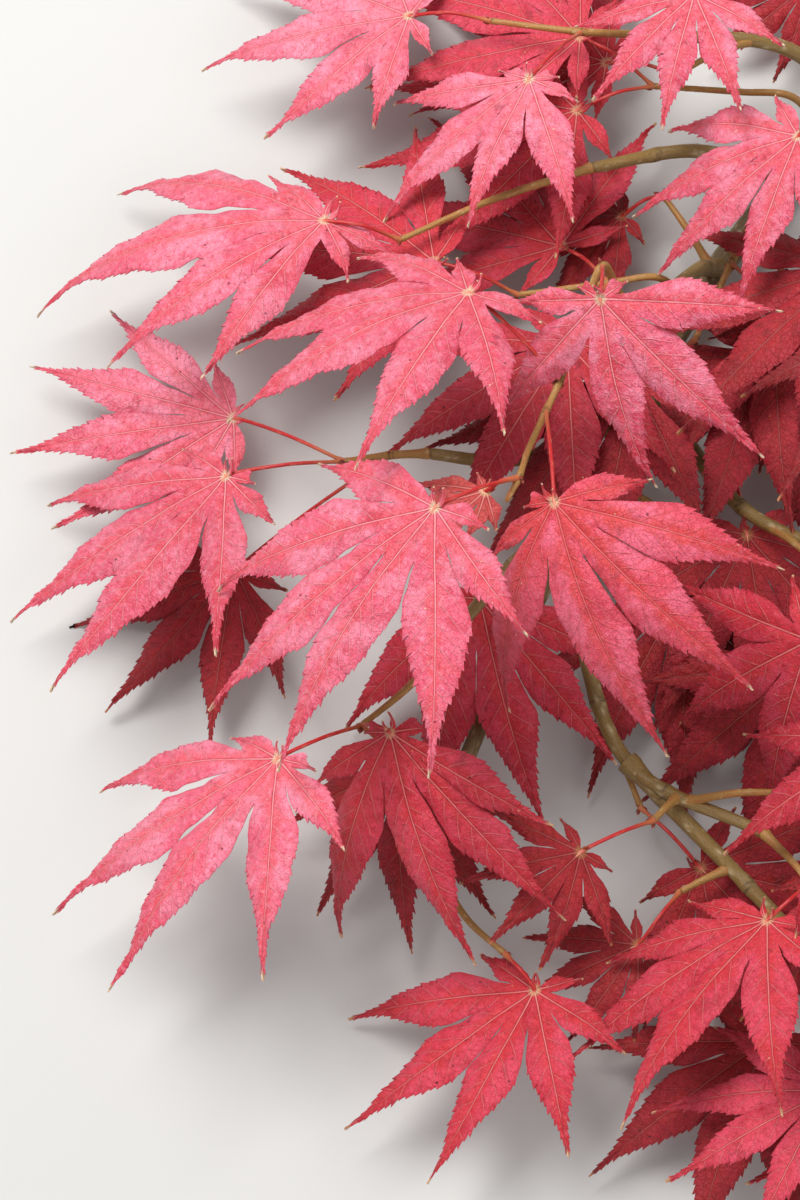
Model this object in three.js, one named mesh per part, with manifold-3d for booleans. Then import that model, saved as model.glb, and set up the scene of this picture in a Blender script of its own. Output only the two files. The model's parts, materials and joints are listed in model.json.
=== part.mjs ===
import * as THREE from "three";
import { mergeVertices } from "three/addons/utils/BufferGeometryUtils.js";
import Module from "manifold-3d";

// A cut branch of japanese maple in autumn leaf, laid down flat.
// Millimetres and degrees, +Z up. The stem lies along the floor with its flat cut at the
// back right, and its twigs reach to the front left, each with pairs of seven-lobed leaves.
// The branch is laid out around a point under its middle. The last lines move all of it so
// that the origin is under the centre of its box.

const wasm = await Module();
wasm.setup();

// Driving sizes of the wood
const STEM_CUT_RADIUS = 3.8;
const STEM_TIP_RADIUS = 1.5;
const BOUGH_FOOT_RADIUS = 1.9;
const BOUGH_TIP_RADIUS = 1.25;
const TWIG_FOOT_RADIUS = 1.1;
const TWIG_TIP_RADIUS = 0.7;
const PETIOLE_RADIUS = 0.55;
const PETIOLE_TAPER = 0.8;
const PETIOLE_RISE = 3;
const SEAT_GAP = 0.3;
const STEM_SIDES = 10;
const BOUGH_SIDES = 8;
const TWIG_SIDES = 4;
const PETIOLE_SIDES = 3;
const PETIOLE_STEPS = 3;
const STEPS_PER_POINT = 2;
const MERGE_DISTANCE = 1e-4;

// A leaf is seven lobes round one point. Angles are from the middle lobe, and the other sizes
// are shares of the leaf's length, from that point to the tip of the middle lobe. A lobe stands
// free from the sinus on, a short one from a share of its own length, and from the second lobe
// out the leaf's lean is at its full.
const LOBE_ANGLES = [0, 33, 68, 108];
const LOBE_REACH = [1, 0.95, 0.76, 0.42];
const LOBE_HALF_WIDTHS = [0.14, 0.132, 0.112, 0.08];
const LEAF_SIDES = [-3, -2, -1, 0, 1, 2, 3];
const SINUS = 0.21;
const SHORT_LOBE_START = 0.45;
const FULL_LEAN_LOBE = 2;
const OUTER_EDGE_ANGLE = 26;
const OUTER_EDGE_REACH = 0.1;
const LEAF_THICKNESS = 1.15;
const EDGE_DROP = 0.16;
const PETIOLE_SINK = 2.5;
// Rows across a lobe: how far along it, how wide, and how thick there
const LOBE_ROWS = [
  { along: 0.45, width: 1, thickness: 1 },
  { along: 0.75, width: 0.56, thickness: 0.8 },
];

// The wood. Each bough springs from another limb at a share of that limb's length.
const MAIN_STEM = {
  name: "main_stem",
  path: [[118, 160, 1], [94, 120, 2], [68, 84, 5], [44, 40, 9], [22, -6, 11], [6, -46, 12]],
};
const BOUGHS = [
  { name: "bough_top_right", from: "main_stem", along: 0.06, path: [[108, 154, 20], [92, 152, 36]] },
  { name: "bough_top", from: "main_stem", along: 0.13, path: [[86, 138, 16], [58, 136, 27]] },
  { name: "bough_upper_right", from: "main_stem", along: 0.2, path: [[104, 112, 20], [106, 106, 36]] },
  { name: "bough_upper_left", from: "main_stem", along: 0.24, path: [[66, 112, 18], [42, 104, 28]] },
  { name: "bough_front", from: "main_stem", along: 0.36, path: [[66, 84, 18], [57, 73, 32]] },
  { name: "bough_right", from: "main_stem", along: 0.5, path: [[74, 30, 16], [96, 14, 30]] },
  { name: "bough_left", from: "main_stem", along: 0.54, path: [[24, 40, 18], [6, 39, 26]] },
  { name: "bough_lower_right", from: "main_stem", along: 0.68, path: [[48, -26, 16], [76, -44, 26]] },
  { name: "bough_lower", from: "main_stem", along: 0.5, path: [[38, 30, 24], [22, 10, 34], [9, -6, 35]] },
  { name: "bough_bottom_right", from: "bough_lower_right", along: 0.6, path: [[84, -66, 18], [94, -82, 24]] },
];

// Sprays. Each twig springs from a limb at a share of its length. A leaf's petiole leaves
// the twig at one of the path's points. The leaf is given by the place of its base, the compass
// heading of its middle lobe, how it pitches up along that lobe and rolls down on its +X side,
// its length, how far it droops, how much longer its lobes are on the +X side, and how wide
// its lobes fan on the -X and +X sides.
const leaf = (node, at, heading, pitch, roll, length, droop, lean, fan) =>
  ({ node, at, heading, pitch, roll, turn: 0, length, droop, lean, fan });

const SHOWN_SPRAYS = [
  {
    name: "spray_front",
    limb: "bough_front",
    along: 1,
    path: [
      [47, 67, 47],
      [42, 69, 60],
      [38, 60, 57],
      [33, 45, 57],
      [30, 38, 58],
      [26, 28, 62],
      [24, 21, 67],
      [21.5, 16.5, 65.5],
    ],
    leaves: [
      leaf(7, [7, 12, 76], 231, -6, 26, 63, 0.22, 0.22, [1.07, 0.72]),
      leaf(5, [31, 15, 70], 274, 0, 36, 59, 0.5, -0.14, [0.94, 1.3]),
      leaf(4, [14, 61, 66], 197, 8, 34, 57, 0.3, 0.13, [1.18, 1.1]),
      leaf(2, [40.5, 56, 76], 275, -24, 32, 46, 0.26, -0.22, [1.2, 1.3]),
      leaf(7, [17.5, 20, 61], 178, -6, 14, 26, 0.25, 0, [0.9, 1]),
    ],
  },
  {
    name: "spray_left",
    limb: "bough_left",
    along: 1,
    path: [[-2, 38, 28], [-12, 36, 30]],
    leaves: [
      leaf(2, [-37, 32, 32], 231, 0, 32, 56, 0.1, 0.25, [1.2, 0.93]),
      leaf(2, [-36.6, 51.5, 12], 188, 2, 4, 50, 0.1, 0.03, [0.79, 0.74]),
      leaf(1, [-36, 18, 8], 228, -2, 12, 42, 0.1, 0, [1, 1]),
    ],
  },
  {
    name: "spray_lower",
    limb: "bough_lower",
    along: 1,
    path: [[2, -14, 33], [-8, -22, 31]],
    leaves: [
      leaf(2, [-25, -32, 44], 228, 1, 36, 58, 0.19, 0.25, [1.16, 0.92]),
      leaf(2, [-2, -26, 42], 274, 0, 34, 55, 0.42, 0, [0.85, 1.25]),
      leaf(2, [0, -28, 18], 268, -8, 20, 40, 0.15, 0, [1, 1]),
    ],
  },
  {
    name: "spray_upper_left",
    limb: "bough_upper_left",
    along: 1,
    path: [[20, 96, 29], [0, 86, 31]],
    leaves: [leaf(2, [-16.4, 89.2, 34], 182, 4, 28, 63, 0.37, 0.01, [0.82, 1.12])],
  },
  {
    name: "spray_top",
    limb: "bough_top",
    along: 1,
    path: [[40, 134, 33], [20, 138, 30]],
    leaves: [
      leaf(1, [28, 119, 40], 248, 2, 28, 41, 0.1, 0.25, [1.08, 1.12]),
      leaf(2, [2, 141, 26], 185, -6, 18, 50, 0.2, 0.2, [1.03, 1.15]),
    ],
  },
  {
    name: "spray_top_right",
    limb: "bough_top_right",
    along: 1,
    path: [[80, 152, 42], [72, 152, 44]],
    leaves: [leaf(2, [64, 138, 44], 254, 9, 16, 34, 0.1, 0.05, [1, 1])],
  },
  {
    name: "spray_upper_right",
    limb: "bough_upper_right",
    along: 1,
    path: [[100, 108, 46], [96, 108, 48]],
    leaves: [leaf(2, [85, 103, 48], 215, -11, 25, 44, 0.3, 0.12, [1.02, 0.92])],
  },
  {
    name: "spray_right",
    limb: "bough_right",
    along: 1,
    path: [[98, 8, 36], [94, 2, 39]],
    leaves: [
      leaf(2, [85, -6, 40], 250, -28, 16, 49, 0.35, 0.05, [1, 1.29]),
      leaf(2, [98, -30, 51], 236, -4, 26, 46, 0.2, 0, [1, 1]),
    ],
  },
  {
    name: "spray_lower_right",
    limb: "bough_lower_right",
    along: 1,
    path: [[82, -52, 31], [84, -56, 33]],
    leaves: [leaf(2, [75, -64, 36], 228, 7, 36, 50, 0.17, 0.1, [1.27, 0.83])],
  },
  {
    name: "spray_bottom_right",
    limb: "bough_bottom_right",
    along: 1,
    path: [[95, -88, 28]],
    leaves: [
      leaf(1, [87, -98, 30], 205, 0, 28, 40, 0.2, 0.1, [1.1, 1]),
      leaf(1, [98, -106, 30], 262, 0, 20, 42, 0.2, 0, [1, 1]),
    ],
  },
  {
    name: "spray_bottom",
    limb: "main_stem",
    along: 1,
    path: [[14, -60, 15], [22, -68, 18]],
    leaves: [leaf(2, [28, -76, 20], 241, 10, 28, 46, 0.08, 0.25, [1.17, 0.98])],
  },
  {
    name: "spray_middle",
    limb: "main_stem",
    along: 0.58,
    path: [[34, 22, 17], [28, 18, 21]],
    leaves: [leaf(2, [17, 7, 25], 281, -4, 22, 54, 0.22, 0.12, [0.82, 1])],
  },
];

// Layers. The sprays between and behind the shown ones are flat layers of leaf pairs. Each
// twig springs from a limb, rises to its layer and runs along the layer's heading, and keeps
// only those leaves that hang clear of the limbs and of the other sprays.
const layer = (name, limb, along, rise, heading, pitch, roll, length, keep) =>
  ({ name, limb, along, rise, heading, pitch, roll, length, keep });
const LAYERS = [
  layer("layer_centre", "main_stem", 0.41, 24, 185, -8, 12, 40, [0, 1, 2]),
  layer("layer_upper", "main_stem", 0.29, 17, 245, 2, 12, 40, [1, 2]),
  layer("layer_right", "main_stem", 0.46, 7, 300, -8, -4, 30, [1, 2]),
  layer("layer_top", "main_stem", 0.18, 19, 175, -2, 12, 40, [2, 3]),
  layer("layer_low", "bough_lower_right", 0.36, 0, 290, -4, 12, 30, [3]),
  layer("layer_bottom", "bough_bottom_right", 0.57, 1, 300, 4, 4, 28, [0]),
  layer("layer_low_edge", "bough_lower_right", 0.79, 9, 360, 0, -14, 42, [0]),
  layer("layer_edge", "bough_right", 0.68, 7, 310, -8, 8, 36, [0]),
  layer("layer_upper_edge", "bough_upper_right", 0.64, 14, 278, 19, 10, 44, [0, 2]),
  layer("layer_stem_edge", "main_stem", 0.34, 18, 310, 4, -8, 30, [0]),
  layer("layer_high_top", "bough_top", 0.58, 5, 210, -4, 10, 40, [0]),
  layer("layer_back", "main_stem", 0.61, 6, 330, -4, 0, 38, [0]),
];
// The leaves of a layer: the path point each leaves from, its turn from the twig's heading and
// its lift out of the layer
const LAYER_LEAVES = [
  { node: 2, turn: 56, lift: -6 },
  { node: 2, turn: -56, lift: 2 },
  { node: 3, turn: 20, lift: 8 },
  { node: 3, turn: -24, lift: -1 },
];
const LAYER_NODES = [0.25, 0.5, 1];
const LAYER_PETIOLE = 18;
const LAYER_LEAF = 50;
const LAYER_DROOP = 0.12;
const TURN_JITTER = 3;
const LENGTH_JITTER = 0.04;
const SEED = 4242;
const NOISE_MULTIPLIER = 16807;
const NOISE_MODULUS = 2147483647;

const fanOf = (kept, index) => (index > 0 ? kept[1] : kept[0]);

// Turns a leaf's own axes to the branch's: +Y along the middle lobe, +Z its upper face.
function leafMatrix({ at, heading, pitch, roll, turn }) {
  const rad = THREE.MathUtils.degToRad;
  return new THREE.Matrix4()
    .makeTranslation(...at)
    .multiply(new THREE.Matrix4().makeRotationZ(rad(heading - 90)))
    .multiply(new THREE.Matrix4().makeRotationX(rad(pitch)))
    .multiply(new THREE.Matrix4().makeRotationY(rad(roll)))
    .multiply(new THREE.Matrix4().makeRotationZ(rad(turn)));
}

// Bends a point of the flat leaf down along an arc that starts level at the base.
function bendLeaf(x, y, lift, { length, droop }) {
  const curve = (2 * droop) / length;
  const out = Math.hypot(x, y);
  const shrink = out > 0 ? Math.sin(curve * out) / (curve * out) : 1;
  return new THREE.Vector3(x * shrink, y * shrink, lift - (1 - Math.cos(curve * out)) / curve);
}

// The seven lobes of one leaf, from its +X side round to its -X side.
function lobesOf({ length, lean, fan }) {
  return [...LEAF_SIDES].reverse().map((index) => {
    const size = Math.abs(index);
    const leaning = Math.min(size / FULL_LEAN_LOBE, 1) * Math.sign(index);
    const longer = 1 + lean * leaning;
    return {
      angle: THREE.MathUtils.degToRad(LOBE_ANGLES[size] * Math.sign(index) * fanOf(fan, index)),
      length: LOBE_REACH[size] * length * longer,
      halfWidth: LOBE_HALF_WIDTHS[size] * length * longer,
    };
  });
}

// One leaf as a closed solid, thickest along the ribs and sharp at its edge.
function bladeGeometry(spec) {
  const matrix = leafMatrix(spec);
  const positions = [];
  const faces = [];
  const put = (x, y, lift) => {
    const point = bendLeaf(x, y, lift, spec).applyMatrix4(matrix);
    positions.push(point.x, point.y, point.z);
    return positions.length / 3 - 1;
  };
  const polar = (angle, reach) => put(Math.sin(angle) * reach, Math.cos(angle) * reach, 0);
  const rib = (x, y, share) => {
    const half = (LEAF_THICKNESS / 2) * share;
    return [put(x, y, half), put(x, y, -half)];
  };
  const edgeOf = (point) => [point, point];
  // Two triangles, one on the upper and one on the lower face.
  const both = (a, b, c) => faces.push(c[0], b[0], a[0], a[1], b[1], c[1]);

  const lobes = lobesOf(spec);
  const outer = THREE.MathUtils.degToRad(OUTER_EDGE_ANGLE);
  const first = lobes[0];
  const last = lobes[lobes.length - 1];
  const notches = [edgeOf(polar(first.angle + outer, OUTER_EDGE_REACH * spec.length))];
  for (let i = 1; i < lobes.length; i += 1) {
    const angle = (lobes[i - 1].angle + lobes[i].angle) / 2;
    notches.push(edgeOf(polar(angle, SINUS * spec.length)));
  }
  notches.push(edgeOf(polar(last.angle - outer, OUTER_EDGE_REACH * spec.length)));

  const base = rib(0, 0, 1);
  lobes.forEach((lobe, i) => {
    const along = [Math.sin(lobe.angle), Math.cos(lobe.angle)];
    const across = [Math.cos(lobe.angle), -Math.sin(lobe.angle)];
    const spot = (reach, side) => [
      along[0] * reach + across[0] * side,
      along[1] * reach + across[1] * side,
    ];
    const start = Math.min(SINUS * spec.length, SHORT_LOBE_START * lobe.length);
    let before = { plus: notches[i], rib: rib(...spot(start, 0), 1), minus: notches[i + 1] };
    both(base, before.rib, before.plus);
    both(base, before.minus, before.rib);
    for (const { along: share, width, thickness } of LOBE_ROWS) {
      const reach = start + (lobe.length - start) * ((share - SINUS) / (1 - SINUS));
      const half = lobe.halfWidth * width;
      const drop = -EDGE_DROP * half;
      const row = {
        plus: edgeOf(put(...spot(reach, half), drop)),
        rib: rib(...spot(reach, 0), thickness),
        minus: edgeOf(put(...spot(reach, -half), drop)),
      };
      both(before.plus, before.rib, row.plus);
      both(before.rib, row.rib, row.plus);
      both(before.rib, before.minus, row.rib);
      both(before.minus, row.minus, row.rib);
      before = row;
    }
    const tip = edgeOf(put(...spot(lobe.length, 0), 0));
    both(before.plus, before.rib, tip);
    both(before.rib, before.minus, tip);
  });
  faces.push(base[1], notches[0][0], base[0]);
  faces.push(base[0], notches[lobes.length][0], base[1]);
  return closedGeometry(positions, faces);
}

function closedGeometry(positions, faces) {
  const geometry = new THREE.BufferGeometry();
  geometry.setAttribute("position", new THREE.Float32BufferAttribute(positions, 3));
  geometry.setIndex(faces);
  return geometry;
}

const curveThrough = (points) =>
  new THREE.CatmullRomCurve3(points.map((p) => new THREE.Vector3(...p)), false, "centripetal");

// A tapering limb along a curve, closed by a flat face at each end. Grown, it is the space
// that a limb springing from it stays out of.
function limbGeometry({ curve, foot, tip, sides, steps }, grow = 0) {
  const positions = [];
  const faces = [];
  const { normals, binormals } = curve.computeFrenetFrames(steps, false);
  for (let step = 0; step <= steps; step += 1) {
    const share = step / steps;
    const radius = foot + (tip - foot) * share + grow;
    const end = step === 0 ? -grow : step === steps ? grow : 0;
    const centre = curve.getPointAt(share).addScaledVector(curve.getTangentAt(share), end);
    for (let side = 0; side < sides; side += 1) {
      const angle = (2 * Math.PI * side) / sides;
      const point = centre
        .clone()
        .addScaledVector(normals[step], radius * Math.cos(angle))
        .addScaledVector(binormals[step], radius * Math.sin(angle));
      positions.push(point.x, point.y, point.z);
    }
  }
  for (let step = 0; step < steps; step += 1) {
    for (let side = 0; side < sides; side += 1) {
      const a = step * sides + side;
      const b = step * sides + ((side + 1) % sides);
      faces.push(a, b, b + sides, a, b + sides, a + sides);
    }
  }
  const last = steps * sides;
  for (let side = 1; side < sides - 1; side += 1) {
    faces.push(0, side + 1, side);
    faces.push(last, last + side, last + side + 1);
  }
  return closedGeometry(positions, faces);
}

function solidOf(geometry) {
  const merged = mergeVertices(geometry, MERGE_DISTANCE);
  return new wasm.Manifold(
    new wasm.Mesh({
      numProp: 3,
      vertProperties: merged.attributes.position.array,
      triVerts: new Uint32Array(merged.index.array),
    }),
  );
}

function geometryOf(solid) {
  const { vertProperties, triVerts } = solid.getMesh();
  return closedGeometry([...vertProperties], [...triVerts]);
}

const stem = {
  curve: curveThrough(MAIN_STEM.path),
  foot: STEM_CUT_RADIUS,
  tip: STEM_TIP_RADIUS,
  sides: STEM_SIDES,
  steps: STEPS_PER_POINT * (MAIN_STEM.path.length - 1),
};
const limbs = new Map([[MAIN_STEM.name, stem]]);
const solids = new Map([[MAIN_STEM.name, solidOf(limbGeometry(stem))]]);

// A limb that springs from another: it starts on the other's axis and is cut clear of it.
function springFrom(parentName, along, path, sizes) {
  const parent = limbs.get(parentName);
  const root = parent.curve.getPointAt(along).toArray();
  const limb = {
    curve: curveThrough([root, ...path]),
    steps: STEPS_PER_POINT * path.length,
    ...sizes,
  };
  const kept = solidOf(limbGeometry(limb)).subtract(solidOf(limbGeometry(parent, SEAT_GAP)));
  const solid = kept.decompose().sort((a, b) => b.volume() - a.volume())[0];
  return { limb, solid };
}

for (const { name, from, along, path } of BOUGHS) {
  const sizes = { foot: BOUGH_FOOT_RADIUS, tip: BOUGH_TIP_RADIUS, sides: BOUGH_SIDES };
  const { limb, solid } = springFrom(from, along, path, sizes);
  limbs.set(name, limb);
  solids.set(name, solid);
}

// The stalk of a leaf, from inside the twig to just inside the blade.
function petioleGeometry(twig, spec) {
  const root = twig.curve.getPoint(spec.node / (twig.curve.points.length - 1));
  const base = new THREE.Vector3(...spec.at);
  const sunk = bendLeaf(0, PETIOLE_SINK, 0, spec).applyMatrix4(leafMatrix(spec));
  const middle = root.clone().lerp(base, 0.5);
  middle.z += PETIOLE_RISE;
  const curve = curveThrough([root, middle, base, sunk].map((point) => point.toArray()));
  return limbGeometry({
    curve,
    foot: PETIOLE_RADIUS,
    tip: PETIOLE_RADIUS * PETIOLE_TAPER,
    sides: PETIOLE_SIDES,
    steps: PETIOLE_STEPS,
  });
}

function spraySolid({ limb: parent, along, path, leaves }) {
  const sizes = { foot: TWIG_FOOT_RADIUS, tip: TWIG_TIP_RADIUS, sides: TWIG_SIDES };
  const { limb: twig, solid } = springFrom(parent, along, path, sizes);
  return leaves.reduce(
    (whole, spec) =>
      whole.add(solidOf(petioleGeometry(twig, spec))).add(solidOf(bladeGeometry(spec))),
    solid,
  );
}

// Repeatable random numbers from -1 to 1, made with whole numbers alone.
function seededNoise(seed) {
  let state = seed;
  return () => {
    state = (state * NOISE_MULTIPLIER) % NOISE_MODULUS;
    return (2 * state) / NOISE_MODULUS - 1;
  };
}

// A layer worked out as a spray: its twig's path and its leaves.
function layerSpray(layer, noise) {
  const root = limbs.get(layer.limb).curve.getPointAt(layer.along);
  const frame = { ...layer, at: [root.x, root.y, root.z + layer.rise], turn: 0 };
  const matrix = leafMatrix(frame);
  const place = (x, y, z) => new THREE.Vector3(x, y, z).applyMatrix4(matrix).toArray();
  const lastNode = Math.max(...layer.keep.map((kept) => LAYER_LEAVES[kept].node));
  const path = LAYER_NODES.slice(0, lastNode).map((share) => place(0, share * layer.length, 0));
  const leaves = layer.keep.map((kept) => {
    const { node, turn, lift } = LAYER_LEAVES[kept];
    const angle = THREE.MathUtils.degToRad(turn);
    const base = LAYER_NODES[node - 1] * layer.length;
    const at = place(
      Math.sin(angle) * LAYER_PETIOLE,
      base + Math.cos(angle) * LAYER_PETIOLE,
      lift,
    );
    return {
      ...frame,
      node,
      at,
      turn: -turn + TURN_JITTER * noise(),
      length: LAYER_LEAF * (1 + LENGTH_JITTER * noise()),
      droop: LAYER_DROOP,
      lean: 0,
      fan: [1, 1],
    };
  });
  return { ...layer, path, leaves };
}

const noise = seededNoise(SEED);
for (const spray of SHOWN_SPRAYS) solids.set(spray.name, spraySolid(spray));
for (const layer of LAYERS) solids.set(layer.name, spraySolid(layerSpray(layer, noise)));

// Colours of the wood and of the leaves
const WOOD = { color: 0x8a6f4a, roughness: 0.8, metalness: 0 };
const FOLIAGE = { color: 0xc2475c, roughness: 0.6, metalness: 0 };

const group = new THREE.Group();
group.name = "japanese_maple_branch";
for (const [name, solid] of solids) {
  const finish = limbs.has(name) ? WOOD : FOLIAGE;
  const mesh = new THREE.Mesh(geometryOf(solid), new THREE.MeshStandardMaterial(finish));
  mesh.name = name;
  group.add(mesh);
}
const box = new THREE.Box3().setFromObject(group);
const centre = box.getCenter(new THREE.Vector3());
for (const mesh of group.children) mesh.position.set(-centre.x, -centre.y, -box.min.z);

export default group;
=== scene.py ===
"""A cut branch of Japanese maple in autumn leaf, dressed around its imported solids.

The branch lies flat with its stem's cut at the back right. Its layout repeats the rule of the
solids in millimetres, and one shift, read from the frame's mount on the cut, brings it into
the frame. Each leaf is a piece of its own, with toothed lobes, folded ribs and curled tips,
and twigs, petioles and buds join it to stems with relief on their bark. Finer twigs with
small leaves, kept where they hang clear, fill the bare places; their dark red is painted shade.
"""

from __future__ import annotations

import json
import logging
import math
from dataclasses import dataclass, field
from enum import Enum
from typing import Callable, Iterator, Sequence

import bpy
import numpy as np
from mathutils import Matrix, Vector

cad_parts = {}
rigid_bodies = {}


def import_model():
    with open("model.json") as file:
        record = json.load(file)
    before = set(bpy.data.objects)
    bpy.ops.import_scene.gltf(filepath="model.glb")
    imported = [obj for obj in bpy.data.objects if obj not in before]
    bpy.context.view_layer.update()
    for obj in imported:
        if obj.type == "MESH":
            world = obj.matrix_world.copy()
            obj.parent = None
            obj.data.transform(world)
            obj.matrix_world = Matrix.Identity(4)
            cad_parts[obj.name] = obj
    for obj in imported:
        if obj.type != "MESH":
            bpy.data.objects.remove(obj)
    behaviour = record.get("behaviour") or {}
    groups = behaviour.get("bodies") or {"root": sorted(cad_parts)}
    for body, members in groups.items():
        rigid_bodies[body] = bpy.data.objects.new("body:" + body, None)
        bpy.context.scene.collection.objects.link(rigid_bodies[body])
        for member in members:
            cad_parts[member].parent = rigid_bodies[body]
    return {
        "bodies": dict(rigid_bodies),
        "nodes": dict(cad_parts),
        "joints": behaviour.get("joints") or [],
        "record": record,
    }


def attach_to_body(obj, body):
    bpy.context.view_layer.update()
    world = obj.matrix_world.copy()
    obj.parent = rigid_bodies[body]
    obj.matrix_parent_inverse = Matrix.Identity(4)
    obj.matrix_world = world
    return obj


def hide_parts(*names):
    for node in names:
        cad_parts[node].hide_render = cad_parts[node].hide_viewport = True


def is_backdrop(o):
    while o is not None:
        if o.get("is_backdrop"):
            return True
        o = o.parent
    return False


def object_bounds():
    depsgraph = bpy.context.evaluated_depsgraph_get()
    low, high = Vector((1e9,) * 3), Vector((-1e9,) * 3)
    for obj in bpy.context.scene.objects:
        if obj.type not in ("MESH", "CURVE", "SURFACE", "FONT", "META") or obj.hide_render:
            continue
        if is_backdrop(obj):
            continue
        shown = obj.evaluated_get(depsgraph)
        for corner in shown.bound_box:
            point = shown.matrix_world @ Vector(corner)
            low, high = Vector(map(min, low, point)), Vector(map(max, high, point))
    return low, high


LOG = logging.getLogger("maple_branch")
MM = 0.001
BODY = "root"
CUT_MOUNT = "cut_end"
NOISE_SEED = 4242
NOISE_MULTIPLIER = 16807
NOISE_MODULUS = 2147483647
ARC_DIVISIONS = 200
FLOOR_CLEARANCE = 0.25
SHARP_DEGREES = 50
VEIN_GAP = 4.4
VEIN_SLOPE = 0.95
VEIN_BEND = 0.045

Points = np.ndarray
Colour = tuple[float, float, float]
Place = tuple[float, float, float]


class Tone(Enum):
    """The autumn tints that the leaves are dealt, spray by spray; one is painted shade."""

    ROSE = "rose"
    RUBY = "ruby"
    CRIMSON = "crimson"
    # A darker copy of the red for leaves low down and behind: painted shade.
    SHADED_WINE = "wine"
    SALMON = "salmon"


class Slot(Enum):
    """The record's material slots."""

    WOOD = "wood"
    FOLIAGE = "foliage"


# Shader maths


class Value:
    """A socket's output, with the arithmetic that the materials use."""

    def __init__(self, graph: Graph, socket: bpy.types.NodeSocket | None) -> None:
        """Keeps the graph that new Math nodes go to, and the socket."""
        self.graph = graph
        self.socket = socket

    def _math(self, operation: str, *others: Value | float) -> Value:
        """Adds a Math node on this value and others."""
        inputs = dict(enumerate((self, *others)))
        return self.graph.node("ShaderNodeMath", {"operation": operation}, inputs)

    def __add__(self, other: Value | float) -> Value:
        """Sum."""
        return self._math("ADD", other)

    __radd__ = __add__

    def __mul__(self, other: Value | float) -> Value:
        """Product."""
        return self._math("MULTIPLY", other)

    def __sub__(self, other: Value | float) -> Value:
        """Difference."""
        return self._math("SUBTRACT", other)

    def __rsub__(self, other: float) -> Value:
        """Difference from a number."""
        return self.graph.node("ShaderNodeMath", {"operation": "SUBTRACT"}, {0: other, 1: self})

    def __truediv__(self, other: Value | float) -> Value:
        """Quotient."""
        return self._math("DIVIDE", other)

    def __abs__(self) -> Value:
        """Size without sign."""
        return self._math("ABSOLUTE")

    def fraction(self) -> Value:
        """What is left over whole numbers."""
        return self._math("FRACT")

    def above(self, limit: float) -> Value:
        """One where the value is over the limit, and otherwise nought."""
        return self._math("GREATER_THAN", limit)

    def ramp(self, low: float, high: float) -> Value:
        """Rises smoothly from 0 at low to 1 at high, or falls where low is the higher.

        Args:
            low: The value that gives 0.
            high: The value that gives 1.

        Returns:
            The eased share, kept from 0 to 1.
        """
        inputs = {"Value": self, "From Min": low, "From Max": high}
        return self.graph.node("ShaderNodeMapRange", {"interpolation_type": "SMOOTHSTEP"}, inputs)


class Graph:
    """One material's nodes."""

    def __init__(self, name: str) -> None:
        """Starts an empty material of that name."""
        self.material = bpy.data.materials.new(name)
        self.material.use_nodes = True
        self.tree = self.material.node_tree
        self.tree.nodes.clear()

    def node(
        self,
        kind: str,
        settings: dict[str, object] | None = None,
        inputs: dict[str | int, object] | None = None,
        output: str | int = 0,
    ) -> Value:
        """Adds a node.

        Args:
            kind: The node's type.
            settings: What is set on the node before its sockets, such as an operation.
            inputs: A value or a link for each named or numbered socket.
            output: The socket that the result stands for.

        Returns:
            The output as a value.
        """
        made = self.tree.nodes.new(kind)
        for name, setting in (settings or {}).items():
            setattr(made, name, setting)
        for name, given in (inputs or {}).items():
            if isinstance(given, Value):
                self.tree.links.new(given.socket, made.inputs[name])
            else:
                made.inputs[name].default_value = given
        return Value(self, made.outputs[output] if len(made.outputs) else None)

    def attribute(self, name: str) -> Value:
        """The vector of a mesh attribute."""
        settings = {"attribute_type": "GEOMETRY", "attribute_name": name}
        return self.node("ShaderNodeAttribute", settings, output="Vector")

    def parts(self, vector: Value) -> tuple[Value, Value, Value]:
        """A vector's three numbers."""
        first = self.node("ShaderNodeSeparateXYZ", inputs={0: vector})
        outputs = first.socket.node.outputs
        return first, Value(self, outputs[1]), Value(self, outputs[2])

    def scaled(self, vector: Value, scale: Place) -> Value:
        """A vector multiplied along each axis."""
        return self.node("ShaderNodeVectorMath", {"operation": "MULTIPLY"}, {0: vector, 1: scale})

    def noise(self, vector: Value, scale: float, detail: float, roughness: float = 0.5) -> Value:
        """Cloudy noise from 0 to 1, at so many features a millimetre."""
        inputs = {"Vector": vector, "Scale": scale, "Detail": detail, "Roughness": roughness}
        return self.node("ShaderNodeTexNoise", inputs=inputs)

    def cells(self, vector: Value, scale: float, feature: str = "F1") -> Value:
        """The distance in a pattern of cells, at so many cells a millimetre."""
        inputs = {"Vector": vector, "Scale": scale}
        return self.node("ShaderNodeTexVoronoi", {"feature": feature}, inputs, "Distance")

    def layered(self, base: Colour, *layers: tuple[Value, Colour]) -> Value:
        """Lays colours over a base, one on the other.

        Args:
            base: The colour underneath.
            *layers: How much each next colour covers, from 0 to 1, and the colour.

        Returns:
            The colour that is left.
        """
        under = (*base, 1.0)
        for cover, colour in layers:
            inputs = {0: cover, 6: under, 7: (*colour, 1.0)}
            under = self.node("ShaderNodeMix", {"data_type": "RGBA"}, inputs, 2)
        return under

    def bump(self, height: Value, depth: float) -> Value:
        """A normal that follows a height, whose full range is the depth in millimetres."""
        inputs = {"Height": height, "Distance": depth * MM, "Strength": 1.0}
        return self.node("ShaderNodeBump", inputs=inputs, output="Normal")

    def finish(self, sockets: dict[str, object]) -> bpy.types.Material:
        """Ends in a Principled shader with these sockets, and returns the material."""
        shader = self.node("ShaderNodeBsdfPrincipled", inputs=sockets, output="BSDF")
        self.node("ShaderNodeOutputMaterial", inputs={"Surface": shader})
        return self.material


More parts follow.
